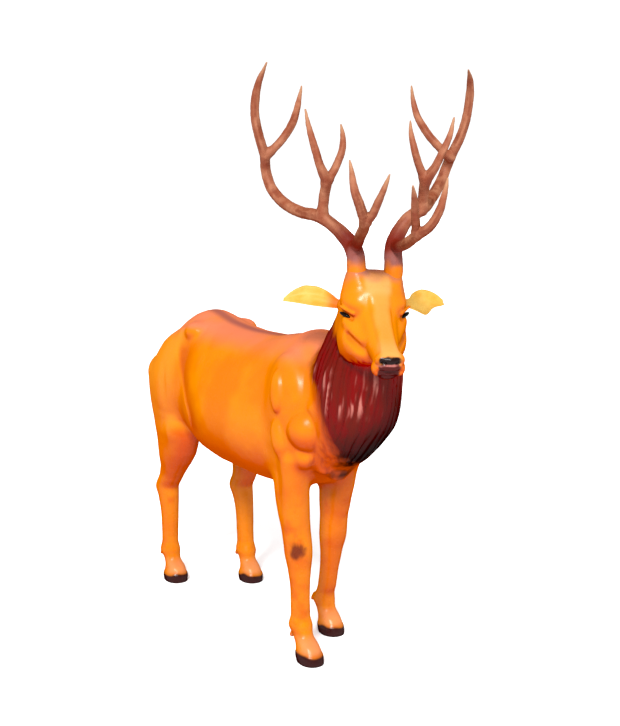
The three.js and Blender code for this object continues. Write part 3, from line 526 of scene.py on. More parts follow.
# The ridge down a forearm, [height, radius] at its ends, and how far out and forwards by side.
RIDGE_TOP, RIDGE_LOW = (620, 28), (430, 20)
RIDGE_REACH = {-1: (27, 45), 1: (10, 30)}
RIDGE_LOW_FORWARDS, RIDGE_BLEND = 24, 24

# Dewclaws: [out from the leg's centre, back, above their height] at each end.
DEWCLAW_ENDS = ((13, 30, 8), (16, 42, -8))
DEWCLAW_RADII, DEWCLAW_BLEND = (10, 7), 5


def add_features(form, side, features, back=0):
    for axes, kind, first, second, third, blend in features:
        start = mirrored(side, first[0], first[1] + back, first[2])
        if kind in ("lobe", "hole"):
            shape = muscle(axes, start, second, mirrored(side, *third))
        else:
            end = mirrored(side, second[0], second[1] + back, second[2])
            shape = rod(axes, start, end, *third)
        form.add(shape, blend, cuts=kind in ("hole", "crease"))


def add_trunk(form):
    form.add(limb(ALONG_BACK, sectioned(TRUNK), TRUNK_ROUNDNESS, TRUNK_EGG))
    form.add(limb(STAG, sectioned(NECK), NECK_ROUNDNESS), NECK_BLEND)
    for _, _, thickness, path, _ in LEGS:
        form.add(limb(STAG, leg_rows(thickness, path), LEG_ROUNDNESS), LEG_BLEND)
    for side in SIDES:
        add_features(form, side, TRUNK_SIDE)
    add_features(form, 1, TAIL)


def add_forearm(form, side, path):
    top_x, top_y = on_path(path, RIDGE_TOP[0])
    low_x, low_y = on_path(path, RIDGE_LOW[0])
    reach, advance = RIDGE_REACH[side]
    top = (top_x + side * reach, top_y - advance, RIDGE_TOP[0])
    low = (low_x + side * reach / 2, low_y - RIDGE_LOW_FORWARDS, RIDGE_LOW[0])
    form.add(rod(STAG, top, low, RIDGE_TOP[1], RIDGE_LOW[1]), RIDGE_BLEND)


def add_dewclaws(form, path, height):
    x, y = on_path(path, height)
    for side in SIDES:
        top, point = ((x + side * out, y + back, height + up) for out, back, up in DEWCLAW_ENDS)
        form.add(rod(STAG, top, point, *DEWCLAW_RADII), DEWCLAW_BLEND)


def add_head(form):
    for axes, sections, roundness, blend in HEAD_BODIES:
        form.add(limb(axes, sectioned(sections), roundness), blend)
    for side in SIDES:
        add_features(form, side, BROW_AND_CHEEK + pedicle(side) + EAR_ROOT_AND_CREASE)
    add_features(form, 1, CHIN_NOSE_AND_MOUTH)
    for side in SIDES:
        add_features(form, side, EYELIDS_AND_NOSTRIL)


def pedicle(side):
    """The stump that carries an antler, after a thinner rod under it in the skull."""
    low, top = PEDICLE_RADII[side]
    return [
        (HEAD, "rod", (54, 64, -84), (46, 66, -40), (low - 4, low - 6), 16),
        (HEAD, "rod", (44, 66, -60), (50, 69, -14), (low, top), 26),
    ]


def body_form(cell):
    form = Form((-290, -1000, -12), (290, 660, 1290), cell)
    add_trunk(form)
    for side in SIDES:
        add_features(form, side, SHOULDER, LEFT_SHOULDER_BACK if side > 0 else 0)
        add_features(form, side, HAUNCH)
    for kind, side, _, path, dewclaw in LEGS:
        if kind == "fore":
            add_forearm(form, side, path)
        add_dewclaws(form, path, dewclaw)
    add_head(form)
    form.distance = np.maximum(form.distance, -form.axes[2][None, None, :].astype(np.float32))
    return form


def surface_net(form):
    """Vertices and quads of the surface where the form's distance is zero."""
    distance = form.distance
    inside = distance < 0
    shape = distance.shape
    corners = list(np.ndindex(2, 2, 2))
    count = np.zeros([n - 1 for n in shape], np.int8)
    for i, j, k in corners:
        count += inside[i:shape[0] - 1 + i, j:shape[1] - 1 + j, k:shape[2] - 1 + k]
    active = (count > 0) & (count < 8)
    cells = np.argwhere(active)
    index = np.full(active.shape, -1, np.int32)
    index[active] = np.arange(len(cells))
    value = {c: distance[tuple((cells + c).T)].astype(float) for c in corners}
    total = np.zeros((len(cells), 3))
    crossings = np.zeros(len(cells))
    for corner in corners:
        for axis in range(3):
            if corner[axis]:
                continue
            other = tuple(corner[i] + (i == axis) for i in range(3))
            crossed = (value[corner] < 0) != (value[other] < 0)
            gap = np.where(crossed, value[corner] - value[other], 1)
            t = np.where(crossed, value[corner] / gap, 0)
            point = np.array(corner, float) + np.eye(3)[axis] * t[:, None]
            total += point * crossed[:, None]
            crossings += crossed
    vertices = (total / crossings[:, None] + cells) * form.cell + form.low
    return vertices, np.concatenate([net_faces(inside, index, axis) for axis in range(3)])


def net_faces(inside, index, axis):
    low, high = [slice(None)] * 3, [slice(None)] * 3
    low[axis], high[axis] = slice(0, -1), slice(1, None)
    edges = np.argwhere(inside[tuple(low)] != inside[tuple(high)])
    first, second = [i for i in range(3) if i != axis]
    shape = inside.shape
    kept = (edges[:, first] > 0) & (edges[:, second] > 0)
    kept &= (edges[:, first] < shape[first] - 1) & (edges[:, second] < shape[second] - 1)
    edges = edges[kept]
    ring = []
    for a, b in ((0, 0), (-1, 0), (-1, -1), (0, -1)):
        cell = edges.copy()
        cell[:, first] += a
        cell[:, second] += b
        ring.append(index[tuple(cell.T)])
    quads = np.stack(ring, axis=1)
    outward = inside[tuple(edges.T)]
    if axis == 1:
        outward = ~outward
    quads[~outward] = quads[~outward][:, ::-1]
    return quads


# Noise and normals for the relief.
LATTICE = np.random.default_rng(7).random((32, 32, 32)).astype(np.float32)


def noise(points, scale):
    """Smooth noise from -1 to 1 with bumps about scale apart; scale may differ by axis."""
    where = points / np.array(scale, float)
    low = np.floor(where).astype(int)
    return 2 * corner_blend(LATTICE, low, smooth_step(where - low, 0, 1)) - 1


def vertex_normals(vertices, quads):
    a, b = vertices[quads[:, 2]] - vertices[quads[:, 0]], vertices[quads[:, 3]] - vertices[quads[:, 1]]
    face = np.cross(a, b)
    normals = np.zeros_like(vertices)
    for corner in range(4):
        for axis in range(3):
            normals[:, axis] += np.bincount(
                quads[:, corner], face[:, axis], minlength=len(vertices))
    return normals / (np.linalg.norm(normals, axis=1, keepdims=True) + 1e-9)


def mane_amount(points):
    """Distance in millimetres inside the mane's edge; negative on the coat."""
    head = inside_frame(HEAD, points)
    on_neck = smooth_curve(MANE_EDGE, 1, points[:, 2]) - points[:, 1]
    below_jaw = smooth_curve(JAW_EDGE, 1, head[:, 1]) - head[:, 2]
    return np.minimum(np.minimum(on_neck, below_jaw), points[:, 2] - MANE_LOWEST)


def mane_relief(points):
    """Locks that run down the neck, with finer strands on them."""
    z = points[:, 2]
    middle = (smooth_curve(NECK, 1, z) + smooth_curve(NECK, 2, z)) / 2
    angle = np.arctan2(points[:, 0], -(points[:, 1] - middle))
    around = angle * MANE_RADIUS
    spread = np.stack([around, z, z * 0], axis=1)
    around = around + 11 * noise(spread, (60, 150, 50)) + 5 * noise(spread + 40, (22, 60, 50))
    lock = np.abs(np.sin(np.pi * around / LOCK_WIDTH)) ** 0.8
    strand = np.abs(np.sin(np.pi * around / STRAND_WIDTH + 1.5 * noise(spread, (30, 50, 50))))
    lift = 0.6 + 0.6 * noise(spread + 90, (24, 70, 50))
    return LOCK_HEIGHT * (lock * lift - 0.4) + STRAND_HEIGHT * (strand - 0.5)


def haunch_edge(points):
    """How far a point lies in front of the haunch's edge, and how much of the edge is there."""
    ahead = smooth_curve(HAUNCH_EDGE, 1, points[:, 2]) - points[:, 1]
    return ahead, band(points[:, 2], 575, 630, 860, 915) * smooth_step(np.abs(points[:, 0]), 100, 135)


def body_relief(points):
    inside = mane_amount(points)
    mane = smooth_step(inside, -6, 34)
    coat = 0.7 * noise(points, 55) + 0.35 * noise(points + 300, 21)
    hoof = HOOF_RIM * smooth_step(HOOF_TOP + 1 - points[:, 2], -1.5, 1.5)
    ahead, present = haunch_edge(points)
    coat -= HAUNCH_STEP * present * band(ahead, -14, 12, 8, HAUNCH_FADE)
    return mane * mane_relief(points) + (1 - mane) * coat * smooth_step(points[:, 2], 20, 60) + hoof


# Blender objects.
def add_object(name, data):
    obj = bpy.data.objects.new(name, data)
    bpy.context.scene.collection.objects.link(obj)
    return obj


def make_mesh(name, vertices, faces, shift):
    mesh = bpy.data.meshes.new(name)
    placed_vertices = (vertices * MM + shift).astype(np.float32)
    mesh.vertices.add(len(vertices))
    mesh.vertices.foreach_set("co", placed_vertices.ravel())
    sides = faces.shape[1]
    mesh.loops.add(faces.size)
    mesh.loops.foreach_set("vertex_index", faces.astype(np.int32).ravel())
    mesh.polygons.add(len(faces))
    mesh.polygons.foreach_set("loop_start", np.arange(0, faces.size, sides, dtype=np.int32))
    mesh.polygons.foreach_set("loop_total", np.full(len(faces), sides, np.int32))
    mesh.update(calc_edges=True)
    mesh.validate()
    return add_object(name, mesh)


def apply_modifiers(obj):
    graph = bpy.context.evaluated_depsgraph_get()
    done = bpy.data.meshes.new_from_object(obj.evaluated_get(graph))
    old = obj.data
    obj.modifiers.clear()
    obj.data = done
    bpy.data.meshes.remove(old)


def lighten(obj, triangles):
    """Fewer triangles where the surface is plain."""
    have = sum(len(face.vertices) - 2 for face in obj.data.polygons)
    if have > triangles:
        fewer = obj.modifiers.new("fewer", "DECIMATE")
        fewer.ratio = triangles / have
        apply_modifiers(obj)


def points_of(obj, shift):
    """The points of a mesh in the stag frame, and its normals there."""
    read = []
    for field in ("co", "normal"):
        flat = np.empty(len(obj.data.vertices) * 3, np.float32)
        obj.data.vertices.foreach_get(field, flat)
        read.append(flat.reshape(-1, 3).astype(float))
    return (read[0] - shift) / MM, read[1]


def store(obj, **layers):
    """Values for each vertex, under the names that the shaders read."""
    for name, values in layers.items():
        layer = obj.data.attributes.new(name, "FLOAT", "POINT")
        layer.data.foreach_set("value", values.astype(np.float32))


# Shader helpers.
class Shader:
    def __init__(self, name):
        self.material = bpy.data.materials.new(name)
        self.material.use_nodes = True
        self.nodes = self.material.node_tree.nodes
        self.links = self.material.node_tree.links
        self.place = self.node("TexCoord").outputs["Object"]

    def join(self, value, socket):
        """Links an output to a socket, or sets the socket to a plain value."""
        if isinstance(value, bpy.types.NodeSocket):
            self.links.new(value, socket)
        else:
            socket.default_value = value

    def fill(self, node, inputs):
        for name, value in inputs.items():
            self.join(value, node.inputs[name.replace("_", " ")])
        return node

    def node(self, kind, **inputs):
        """A new node with its inputs filled; an underscore in a name stands for a space."""
        return self.fill(self.nodes.new("ShaderNode" + kind), inputs)

    def surface(self, **inputs):
        self.fill(self.nodes["Principled BSDF"], inputs)

    def attribute(self, name):
        node = self.node("Attribute")
        node.attribute_name = name
        return node.outputs["Fac"]

    def paint(self, base, layers):
        """Colours laid over a base, each as strong as the attribute of its name."""
        for name, paint in layers:
            base = self.mix(self.attribute(name), base, paint)
        return base

    def paint_inside(self, base, layers):
        """Colours laid over a base inside the shapes whose edge distances the attributes hold."""
        for name, soft, paint in layers:
            base = self.mix(self.spread(self.attribute(name), -soft, soft), base, paint)
        return base

    def noise(self, scale, detail=3.0, stretch=(1, 1, 1)):
        place = self.node("Mapping", Scale=stretch, Vector=self.place).outputs["Vector"]
        return self.node("TexNoise", Scale=scale, Detail=detail, Vector=place).outputs["Fac"]

    def cells(self, scale):
        node = self.node("TexVoronoi", Scale=scale, Vector=self.place)
        node.feature = "SMOOTH_F1"
        return node.outputs["Distance"]

    def gloss(self, level):
        """Shine of the given level that dies out where the surface turns edge-on."""
        facing = self.node("LayerWeight", Blend=0.5).outputs["Facing"]
        facing = self.spread(facing, 0.15, 0.62, 1.0, 0.0)
        self.surface(Specular_IOR_Level=self.math("MULTIPLY", facing, level))

    def spread(self, value, low, high, to_low=0.0, to_high=1.0):
        """A smooth step of a value from low to high, as a value from to_low to to_high."""
        node = self.node(
            "MapRange", Value=value, From_Min=low, From_Max=high, To_Min=to_low, To_Max=to_high)
        node.interpolation_type = "SMOOTHSTEP"
        return node.outputs["Result"]

    def math(self, operation, a, b):
        node = self.node("Math")
        node.operation = operation
        self.join(a, node.inputs[0])
        self.join(b, node.inputs[1])
        return node.outputs["Value"]

    def mix(self, amount, a, b):
        node = self.node("Mix")
        node.data_type = "RGBA"
        self.join(amount, node.inputs["Factor"])
        for value, socket in zip((a, b), [s for s in node.inputs if s.type == "RGBA"]):
            self.join(value, socket)
        return [s for s in node.outputs if s.type == "RGBA"][0]

    def bump(self, height, strength, distance):
        node = self.node("Bump", Strength=strength, Distance=distance, Height=height)
        self.surface(Normal=node.outputs["Normal"])


# How much darker the paint is than the colour it shows under the bright studio lights.
PAINT_DEPTH = 0.46
# Grain cells of the leather in each metre.
LEATHER_CELLS = 420


def colour(red, green, blue):
    """A screen colour, 0 to 255, as the paint that shows it under the studio's lights."""
    def linear(value):
        value /= 255
        return value / 12.92 if value <= 0.04045 else ((value + 0.055) / 1.055) ** 2.4

    return tuple(PAINT_DEPTH * linear(value) for value in (red, green, blue)) + (1.0,)


ORANGE = colour(240, 126, 0)
BRIGHT_ORANGE = colour(250, 142, 2)
# Deep orange serves as painted shade on undersides, before the haunch and by the groin, and for random
# patches on the legs.
DEEP_ORANGE = colour(212, 74, 0)
# Painted shade for creases and hollows.
CREASE_RED = colour(168, 40, 2)
# Painted reflection: the pink sheen on the back.
PINK_SHEEN = colour(244, 134, 96)
SPINE_GREY = colour(150, 84, 84)
PALE_FACE = colour(250, 170, 88)
HAUNCH_PALE = colour(250, 150, 34)
# Painted highlight for the front of the pasterns.
PASTERN_PINK = colour(250, 160, 108)
MANE_RED = colour(128, 0, 0)
MANE_BROWN = colour(112, 20, 6)
# Painted shade for the mane's hollows and lower front.
MANE_DARK = colour(24, 0, 0)
MANE_GLINT = colour(236, 150, 136)
THROAT_RED = colour(188, 0, 0)
HOOF_MAROON = colour(52, 10, 8)
STAIN_BROWN = colour(104, 28, 4)
STRAP_BROWN = colour(160, 44, 4)
NOSE_DARK = colour(28, 2, 2)
MOUTH_DARK = colour(82, 6, 4)
# Painted highlight for the rim under the nose.
LIP_PINK = colour(206, 120, 112)
ANTLER_FOOT = colour(168, 104, 96)
BONE_BROWN = colour(160, 86, 58)
BONE_PALE = colour(190, 124, 92)
BONE_TIP = colour(196, 142, 106)
# Painted shade for the antlers' undersides.
BONE_RUST = colour(128, 40, 14)
BONE_GROOVE = colour(126, 52, 28)
BONE_RED = colour(124, 22, 8)
EAR_YELLOW = colour(240, 178, 62)
EAR_PALE = colour(248, 196, 92)
EAR_STEM = colour(236, 116, 12)
EYE_BLACK = colour(5, 3, 3)
EYE_BROWN = colour(22, 10, 6)
FLOOR_GREY = (0.93, 0.93, 0.93, 1)
FLOOR_WHITE = (0.96, 0.96, 0.96, 1)


def coat_paint(shader):
    patchy = shader.spread(shader.noise(6, 3.0), 0.35, 0.68)
    coat = shader.mix(patchy, ORANGE, BRIGHT_ORANGE)
    # Deeper orange on surfaces that face down is painted shade.
    coat = shader.paint(coat, (("haunch", HAUNCH_PALE), ("underside", DEEP_ORANGE)))
    worn = shader.spread(shader.noise(14, 4.0), 0.5, 0.72, 0, 0.55)
    coat = shader.mix(shader.math("MULTIPLY", worn, shader.attribute("legs")), coat, DEEP_ORANGE)
    # Deeper orange before the haunch and by the groin is painted shade, and beside the mane it is deeper
    # paint; a painted highlight lightens the front of the pasterns, and painted shade reddens creases.
    coat = shader.paint(coat, (
        ("edge", DEEP_ORANGE), ("pastern", PASTERN_PINK), ("crease", CREASE_RED),
    ))
    # Painted reflection: a pink sheen on the back where it faces up, broken up by noise.
    mottle = shader.spread(shader.noise(9, 3.0), 0.3, 0.6, 0.6, 1)
    sheen = shader.math("MULTIPLY", shader.attribute("sheen"), mottle)
    coat = shader.mix(sheen, coat, PINK_SHEEN)
    coat = shader.paint(coat, (("spine", SPINE_GREY), ("pale", PALE_FACE)))
    streaks = shader.spread(shader.noise(60, 3.0, (1, 1, 0.12)), 0.42, 0.66)
    streaked = shader.math("MULTIPLY", shader.attribute("streaked"), streaks)
    coat = shader.mix(streaked, coat, STRAP_BROWN)
    return shader.paint(coat, (("stain", STAIN_BROWN), ("foot", ANTLER_FOOT)))


def mane_paint(shader, coat):
    hair = shader.spread(shader.noise(48, 4.0, (1, 1, 0.1)), 0.34, 0.66)
    # Painted shade darkens the hollows between the locks and the mane's lower front; painted glints
    # lighten the ridges.
    locks = shader.paint(shader.mix(hair, MANE_RED, MANE_BROWN), (
        ("hollow", MANE_DARK), ("mane_dark", MANE_DARK), ("throat", THROAT_RED),
        ("glint", MANE_GLINT),
    ))
    wander = shader.spread(hair, 0, 1, -5, 5)
    fade = shader.math("ADD", shader.attribute("mane"), wander)
    fade = shader.math("MULTIPLY", fade, shader.attribute("crisp"))
    return shader.mix(shader.spread(fade, -15, 15), coat, locks)


def leather_shader():
    shader = Shader("coat leather")
    coat = mane_paint(shader, coat_paint(shader))
    coat = shader.paint_inside(coat, (
        ("mouth", 4, MOUTH_DARK), ("nose", 3, NOSE_DARK), ("lip", 3, LIP_PINK),
    ))
    above_hoof = shader.spread(shader.attribute("hoof"), -16, 6, 0, 0.5)
    coat = shader.mix(above_hoof, coat, STAIN_BROWN)
    coat = shader.paint_inside(coat, (("hoof", 4, HOOF_MAROON),))
    shader.surface(Base_Color=coat)
    dull = shader.spread(shader.attribute("mane"), -12, 12, 0.06, -0.05)
    rough = shader.spread(shader.noise(35, 2.0), 0.3, 0.7, 0.16, 0.24)
    shader.surface(Roughness=shader.math("ADD", rough, dull))
    shader.gloss(shader.spread(shader.attribute("mane"), -12, 12, 0.12, 0.07))
    grain = shader.math("ADD", shader.cells(LEATHER_CELLS), shader.noise(160, 4.0))
    shader.bump(grain, 0.1, 0.001)
    return shader.material


def antler_shader():
    shader = Shader("antler")
    tone = shader.spread(shader.noise(28, 4.0), 0.3, 0.7)
    # Redder, darker bone on surfaces that face down is painted shade.
    bone = shader.paint(shader.mix(tone, BONE_BROWN, BONE_PALE), (
        ("tip", BONE_TIP), ("under", BONE_RUST), ("groove", BONE_GROOVE), ("root", BONE_RED),
        ("foot", ANTLER_FOOT), ("skin", ORANGE),
    ))
    shader.surface(Base_Color=bone, Roughness=shader.spread(tone, 0, 1, 0.46, 0.62))
    shader.gloss(0.1)
    shader.bump(shader.noise(260, 5.0), 0.2, 0.0012)
    return shader.material


def ear_shader():
    shader = Shader("ear leather")
    tone = shader.spread(shader.noise(30, 3.0), 0.3, 0.7)
    skin = shader.mix(tone, EAR_YELLOW, EAR_PALE)
    skin = shader.paint(skin, (("stem", EAR_STEM),))
    rough = shader.spread(tone, 0, 1, 0.4, 0.5)
    shader.surface(Base_Color=skin, Roughness=rough, Specular_IOR_Level=0.12)
    shader.bump(shader.cells(LEATHER_CELLS), 0.1, 0.001)
    return shader.material


def eye_shader():
    shader = Shader("eye glass")
    tone = shader.spread(shader.noise(90, 2.0), 0.4, 0.7)
    glass = shader.mix(tone, EYE_BLACK, EYE_BROWN)
    shader.surface(Base_Color=glass, Roughness=0.16, Specular_IOR_Level=0.06)
    return shader.material


def floor_shader():
    shader = Shader("floor")
    tone = shader.spread(shader.noise(3, 2.0), 0.2, 0.8)
    grey = shader.mix(tone, FLOOR_GREY, FLOOR_WHITE)
    shader.surface(Base_Color=grey, Roughness=0.9, Specular_IOR_Level=0.0)
    return shader.material


# The pieces.
def build_body(shift):
    form = body_form(BODY_CELL)
    vertices, quads = surface_net(form)
    normals = vertex_normals(vertices, quads)
    vertices = vertices + normals * body_relief(vertices)[:, None]
    vertices[:, 2] = np.maximum(vertices[:, 2], 0)
    body = make_mesh("stag_coat", vertices, quads, shift)
    lighten(body, BODY_TRIANGLES)
    points, normals = points_of(body, shift)
    paint_body(body, form, points, normals)
    return finish_piece(body, leather_shader(), "body")


def near_point(points, centre, radius, soft):
    """One within the radius of a point, falling to nothing over the soft distance."""
    away = np.linalg.norm(points - np.array(centre, float), axis=1)
    return 1 - smooth_step(away, radius - soft / 2, radius + soft / 2)


def paint_body(body, form, points, normals):
    head, face = inside_frame(HEAD, points), inside_frame(FACE, points)
    mane = mane_amount(points)
    on_head = smooth_step(-mane, -4, 10) * smooth_step(-points[:, 1], 540, 600)
    on_head = on_head * smooth_step(points[:, 2], 900, 940)
    # Painted shade: the crease layer reddens the coat where nearby form hides the surface, found by
    # sampling the form outwards along the normals.
    occluded = sum((reach - form.sample(points + normals * reach)) / reach for reach in (12, 26)) / 2
    crease = smooth_step(occluded, 0.1, 0.7)
    # Painted shade: deeper orange on surfaces that face down.
    underside = 0.9 * smooth_step(-normals[:, 2], -0.25, 0.6)
    store(body, crease=0.8 * crease * (1 - 0.4 * on_head), underside=underside)
    paint_back(body, points, normals, on_head)
    paint_edges(body, points, normals, mane, on_head)
    paint_legs(body, points, normals)
    paint_mane(body, points, head, mane)
    paint_head(body, points, head, face, on_head)
    paint_muzzle(body, face)


def paint_back(body, points, normals, on_head):
    """The pink painted reflection on the back where it faces up, the grey line of the spine and the paler
    rump.
    """
    x, y, z = points.T
    back = smooth_step(z, 885, 950) * (1 - on_head) * smooth_step(normals[:, 2], 0.3, 0.85)
    spine = smooth_step(-np.abs(x + 6), -34, -4) * smooth_step(y, -340, -280)
    rump = smooth_step(y, 285, 330) * smooth_step(z, 560, 620)
    store(body, sheen=0.9 * back, spine=0.7 * back * spine, haunch=0.7 * rump)


def paint_edges(body, points, normals, mane, on_head):
    """Deeper orange as painted shade in front of the haunch's edge and on the front of the thigh by the
    groin, and as deeper paint beside the mane; streaks on the chest.
    """
    x, y, z = points.T
    ahead, present = haunch_edge(points)
    # Painted shade where the flank dips in front of the haunch's edge.
    edge = 0.45 * present * band(ahead, -8, 10, 6, 120)
    beside_mane = smooth_step(mane, -42, -10) * (1 - on_head) * smooth_step(-z, -900, -820)
    # Painted shade on the front of the thigh by the groin.
    thigh = smooth_step(-normals[:, 1], 0.1, 0.7) * smooth_step(y, 60, 140) * band(z, 400, 450, 570, 610)
    strap = smooth_step(-np.hypot(np.abs(x) - 75, (y + 500) * 0.5), -60, -20)
    store(
        body, edge=0.85 * np.maximum(np.maximum(edge, 0.8 * beside_mane), thigh),
        streaked=0.6 * strap * band(z, 540, 600, 680, 760))


def paint_legs(body, points, normals):
    z = points[:, 2]
    # Painted highlight: pale pink on the front of the pasterns above the hooves.
    pastern = band(z, 26, 42, 60, 92) * smooth_step(-normals[:, 1], -0.1, 0.5)
    ragged = points + 9 * np.stack([noise(points + 50 * i, 14) for i in range(3)], axis=1)
    store(
        body, legs=smooth_step(-z, -560, -480), pastern=0.6 * pastern,
        hoof=HOOF_TOP - z + 5 * noise(points, 26),
        stain=0.9 * near_point(ragged, KNEE_STAIN, KNEE_STAIN_SIZE, 20))


def paint_mane(body, points, head, mane):
    """The mane's edge, painted shade in its hollows and towards its lower front, painted glints and the
    red throat.
    """
    x, y, z = points.T
    locks = mane_relief(points)
    wisps = smooth_step(noise(points * (1, 1, 0.3) + 70, 13), -0.15, 0.35)
    below = smooth_curve(JAW_EDGE, 1, head[:, 1]) - head[:, 2]
    store(
        body, mane=mane,
        crisp=0.45 + 0.25 * smooth_step(-z, -860, -720) + 1.6 * smooth_step(-y, 560, 620),
        # Painted shade in the hollows between the locks.
        hollow=0.5 * smooth_step(-locks, 0, 4.5),
        glint=0.6 * smooth_step(locks, 1.2, 3.2) * band(z, 770, 820, 890, 940) * wisps,
        # Painted shade: the mane darkens towards its lower front and the stag's left side.
        mane_dark=smooth_step(0.7 * x - y * 0.25 - z, -700, -500),
        throat=0.8 * smooth_step(-below, -45, -5) * smooth_step(-y, 640, 690))


def paint_head(body, points, head, face, on_head):
    """The pale stripe down the face and the dark skin round the antlers."""
    stripe = smooth_curve(FACE_STRIPE, 1, face[:, 2]) - np.abs(face[:, 0])
    stripe = smooth_step(stripe + 5 * noise(points, 30), -9, 9) * smooth_curve(FACE_STRIPE, 2, face[:, 2])
    rim = smooth_step(head[:, 2] + 14 * noise(points, 24), -34, 6) * on_head
    streak = smooth_step(head[:, 0], 62, 78) * smooth_step(head[:, 2], -95, -30) * on_head
    pale = stripe * on_head * smooth_step(face[:, 1], -26, -10)
    store(body, pale=pale, foot=0.85 * np.maximum(rim, 0.7 * streak))


def rounded_box(x, y, half_width, half_height):
    """Millimetres inside a rounded box round the origin."""
    ratio = ((x / half_width) ** 4 + (y / half_height) ** 4) ** 0.25
    return (1 - ratio) * half_height


def paint_muzzle(body, face):
    """The nose, a painted pink highlight on the rim under it and the mouth, in millimetres inside each
    shape.
    """
    x, y, z = face.T
    round_front = z - 0.8 * y
    edge = np.where(z > 299, 0.0, -30.0) + 3 * noise(face, 9)
    store(
        body, nose=rounded_box(x + 5, round_front - 317, 30, 13) + edge,
        lip=rounded_box(x + 2, round_front - 333, 17, 3) + edge,
        mouth=rounded_box(x + 2, round_front - 353, 29, 29) + edge)


def centripetal(rows, side, per_row):
    """Points and radii along a smooth curve through a branch's rows."""
    knots = np.array([antler_point(side, row) for row in rows])
    radii = [(i, row[3]) for i, row in enumerate(rows)]
    ends = np.vstack([2 * knots[0] - knots[1], knots, 2 * knots[-1] - knots[-2]])
    points, at = [], []
    for i in range(len(knots) - 1):
        a, b, c, d = ends[i:i + 4]
        steps = [np.linalg.norm(q - p) ** 0.5 for p, q in ((a, b), (b, c), (c, d))]
        leave = (b - a) / steps[0] - (c - a) / (steps[0] + steps[1]) + (c - b) / steps[1]
        arrive = (c - b) / steps[1] - (d - b) / (steps[1] + steps[2]) + (d - c) / steps[2]
        leave, arrive = leave * steps[1], arrive * steps[1]
        for t in np.linspace(0, 1, per_row, endpoint=False):
            cubic = (2 * b - 2 * c + leave + arrive) * t**3
            cubic = cubic + (-3 * b + 3 * c - 2 * leave - arrive) * t**2 + leave * t + b
            points.append(cubic)
            at.append(i + t)
    points.append(knots[-1])
    at.append(len(knots) - 1)
    return np.array(points), smooth_curve(radii, 1, np.array(at, float))


def antler_point(side, row):
    x, y, z, _, unevenness = row
    lean = side * ANTLER_LEAN
    forwards, up = y - ANTLER_ROOT[1], z + side * unevenness - ANTLER_ROOT[2]
    leaned_y = ANTLER_ROOT[1] + forwards * math.cos(lean) + up * math.sin(lean)
    leaned_z = ANTLER_ROOT[2] + up * math.cos(lean) - forwards * math.sin(lean)
    return placed(HEAD, (side * x, leaned_y, leaned_z))


def build_antler(side, shift):
    spines = [centripetal(rows, side, 6) for rows in BRANCHES]
    everywhere = np.vstack([points for points, _ in spines])
    form = Form(everywhere.min(0) - 30, everywhere.max(0) + 30, ANTLER_CELL)
    for number, (points, radii) in enumerate(spines):
        for i in range(len(points) - 1):
            blend = 7.0 if number and i < 3 else 1.5
            form.add(world_rod(points[i], points[i + 1], radii[i], radii[i + 1]), blend)
    vertices, quads = surface_net(form)
    normals = vertex_normals(vertices, quads)
    groove, _ = antler_details(vertices, normals, spines)
    vertices = vertices + normals * (groove * 0.9 + 0.5 * noise(vertices, 9))[:, None]
    antler = make_mesh(f"antler_bone_{LABELS[side]}", vertices, quads, shift)
    lighten(antler, ANTLER_TRIANGLES)
    points, normals = points_of(antler, shift)
    groove, thin = antler_details(points, normals, spines)
    paint_antler(antler, side, points, normals, groove, thin)
    return finish_piece(antler, antler_shader(), f"antler_{LABELS[side]}")


def paint_antler(antler, side, points, normals, groove, thin):
    root = placed(HEAD, mirrored(side, 52, 62, 30))
    near_root = np.linalg.norm(points - root, axis=1) + 22 * noise(points, 30)
    height = inside_frame(HEAD, points)[:, 2]
    store(
        antler, groove=0.55 * smooth_step(-groove, 0.0, 0.8), tip=smooth_step(-thin, -8.5, -3.5),
        # Painted shade: redder, darker bone on surfaces that face down.
        under=0.6 * smooth_step(-normals[:, 2] + 0.25 * noise(points, 40), 0.1, 0.8),
        root=0.9 * smooth_step(-near_root, -150, -50),
        foot=0.7 * smooth_step(-height + 10 * noise(points, 20), -70, -30),
        skin=smooth_step(-height + 16 * noise(points, 17), -34, 8))


def antler_details(points, normals, spines):
    """Long grooves that follow each branch, and the branch's radius there."""
    tree = KDTree(sum(len(spine) for spine, _ in spines))
    rows, travelled, tangents = [], [], []
    for spine, radii in spines:
        lengths = np.r_[0, np.cumsum(np.linalg.norm(np.diff(spine, axis=0), axis=1))]
        rows += list(zip(spine, radii))
        travelled += list(lengths)
        tangents += list(np.gradient(spine, axis=0))
    for i, (centre, _) in enumerate(rows):
        tree.insert(centre, i)
    tree.balance()
    nearest = np.array([tree.find(point)[1] for point in points])
    radii = np.array([radius for _, radius in rows])[nearest]
    along = np.array(travelled)[nearest]
    tangent = np.array(tangents)[nearest]
    tangent = tangent / np.linalg.norm(tangent, axis=1, keepdims=True)
    across = np.cross(tangent, HEAD[2])
    across = across / (np.linalg.norm(across, axis=1, keepdims=True) + 1e-9)
    upwards = np.cross(tangent, across)
    angle = np.arctan2((normals * upwards).sum(1), (normals * across).sum(1))
    spread = np.stack([np.cos(angle) * 20, np.sin(angle) * 20, along * 0.16], axis=1)
    return noise(spread, 7) * smooth_step(radii, 4, 12), radii


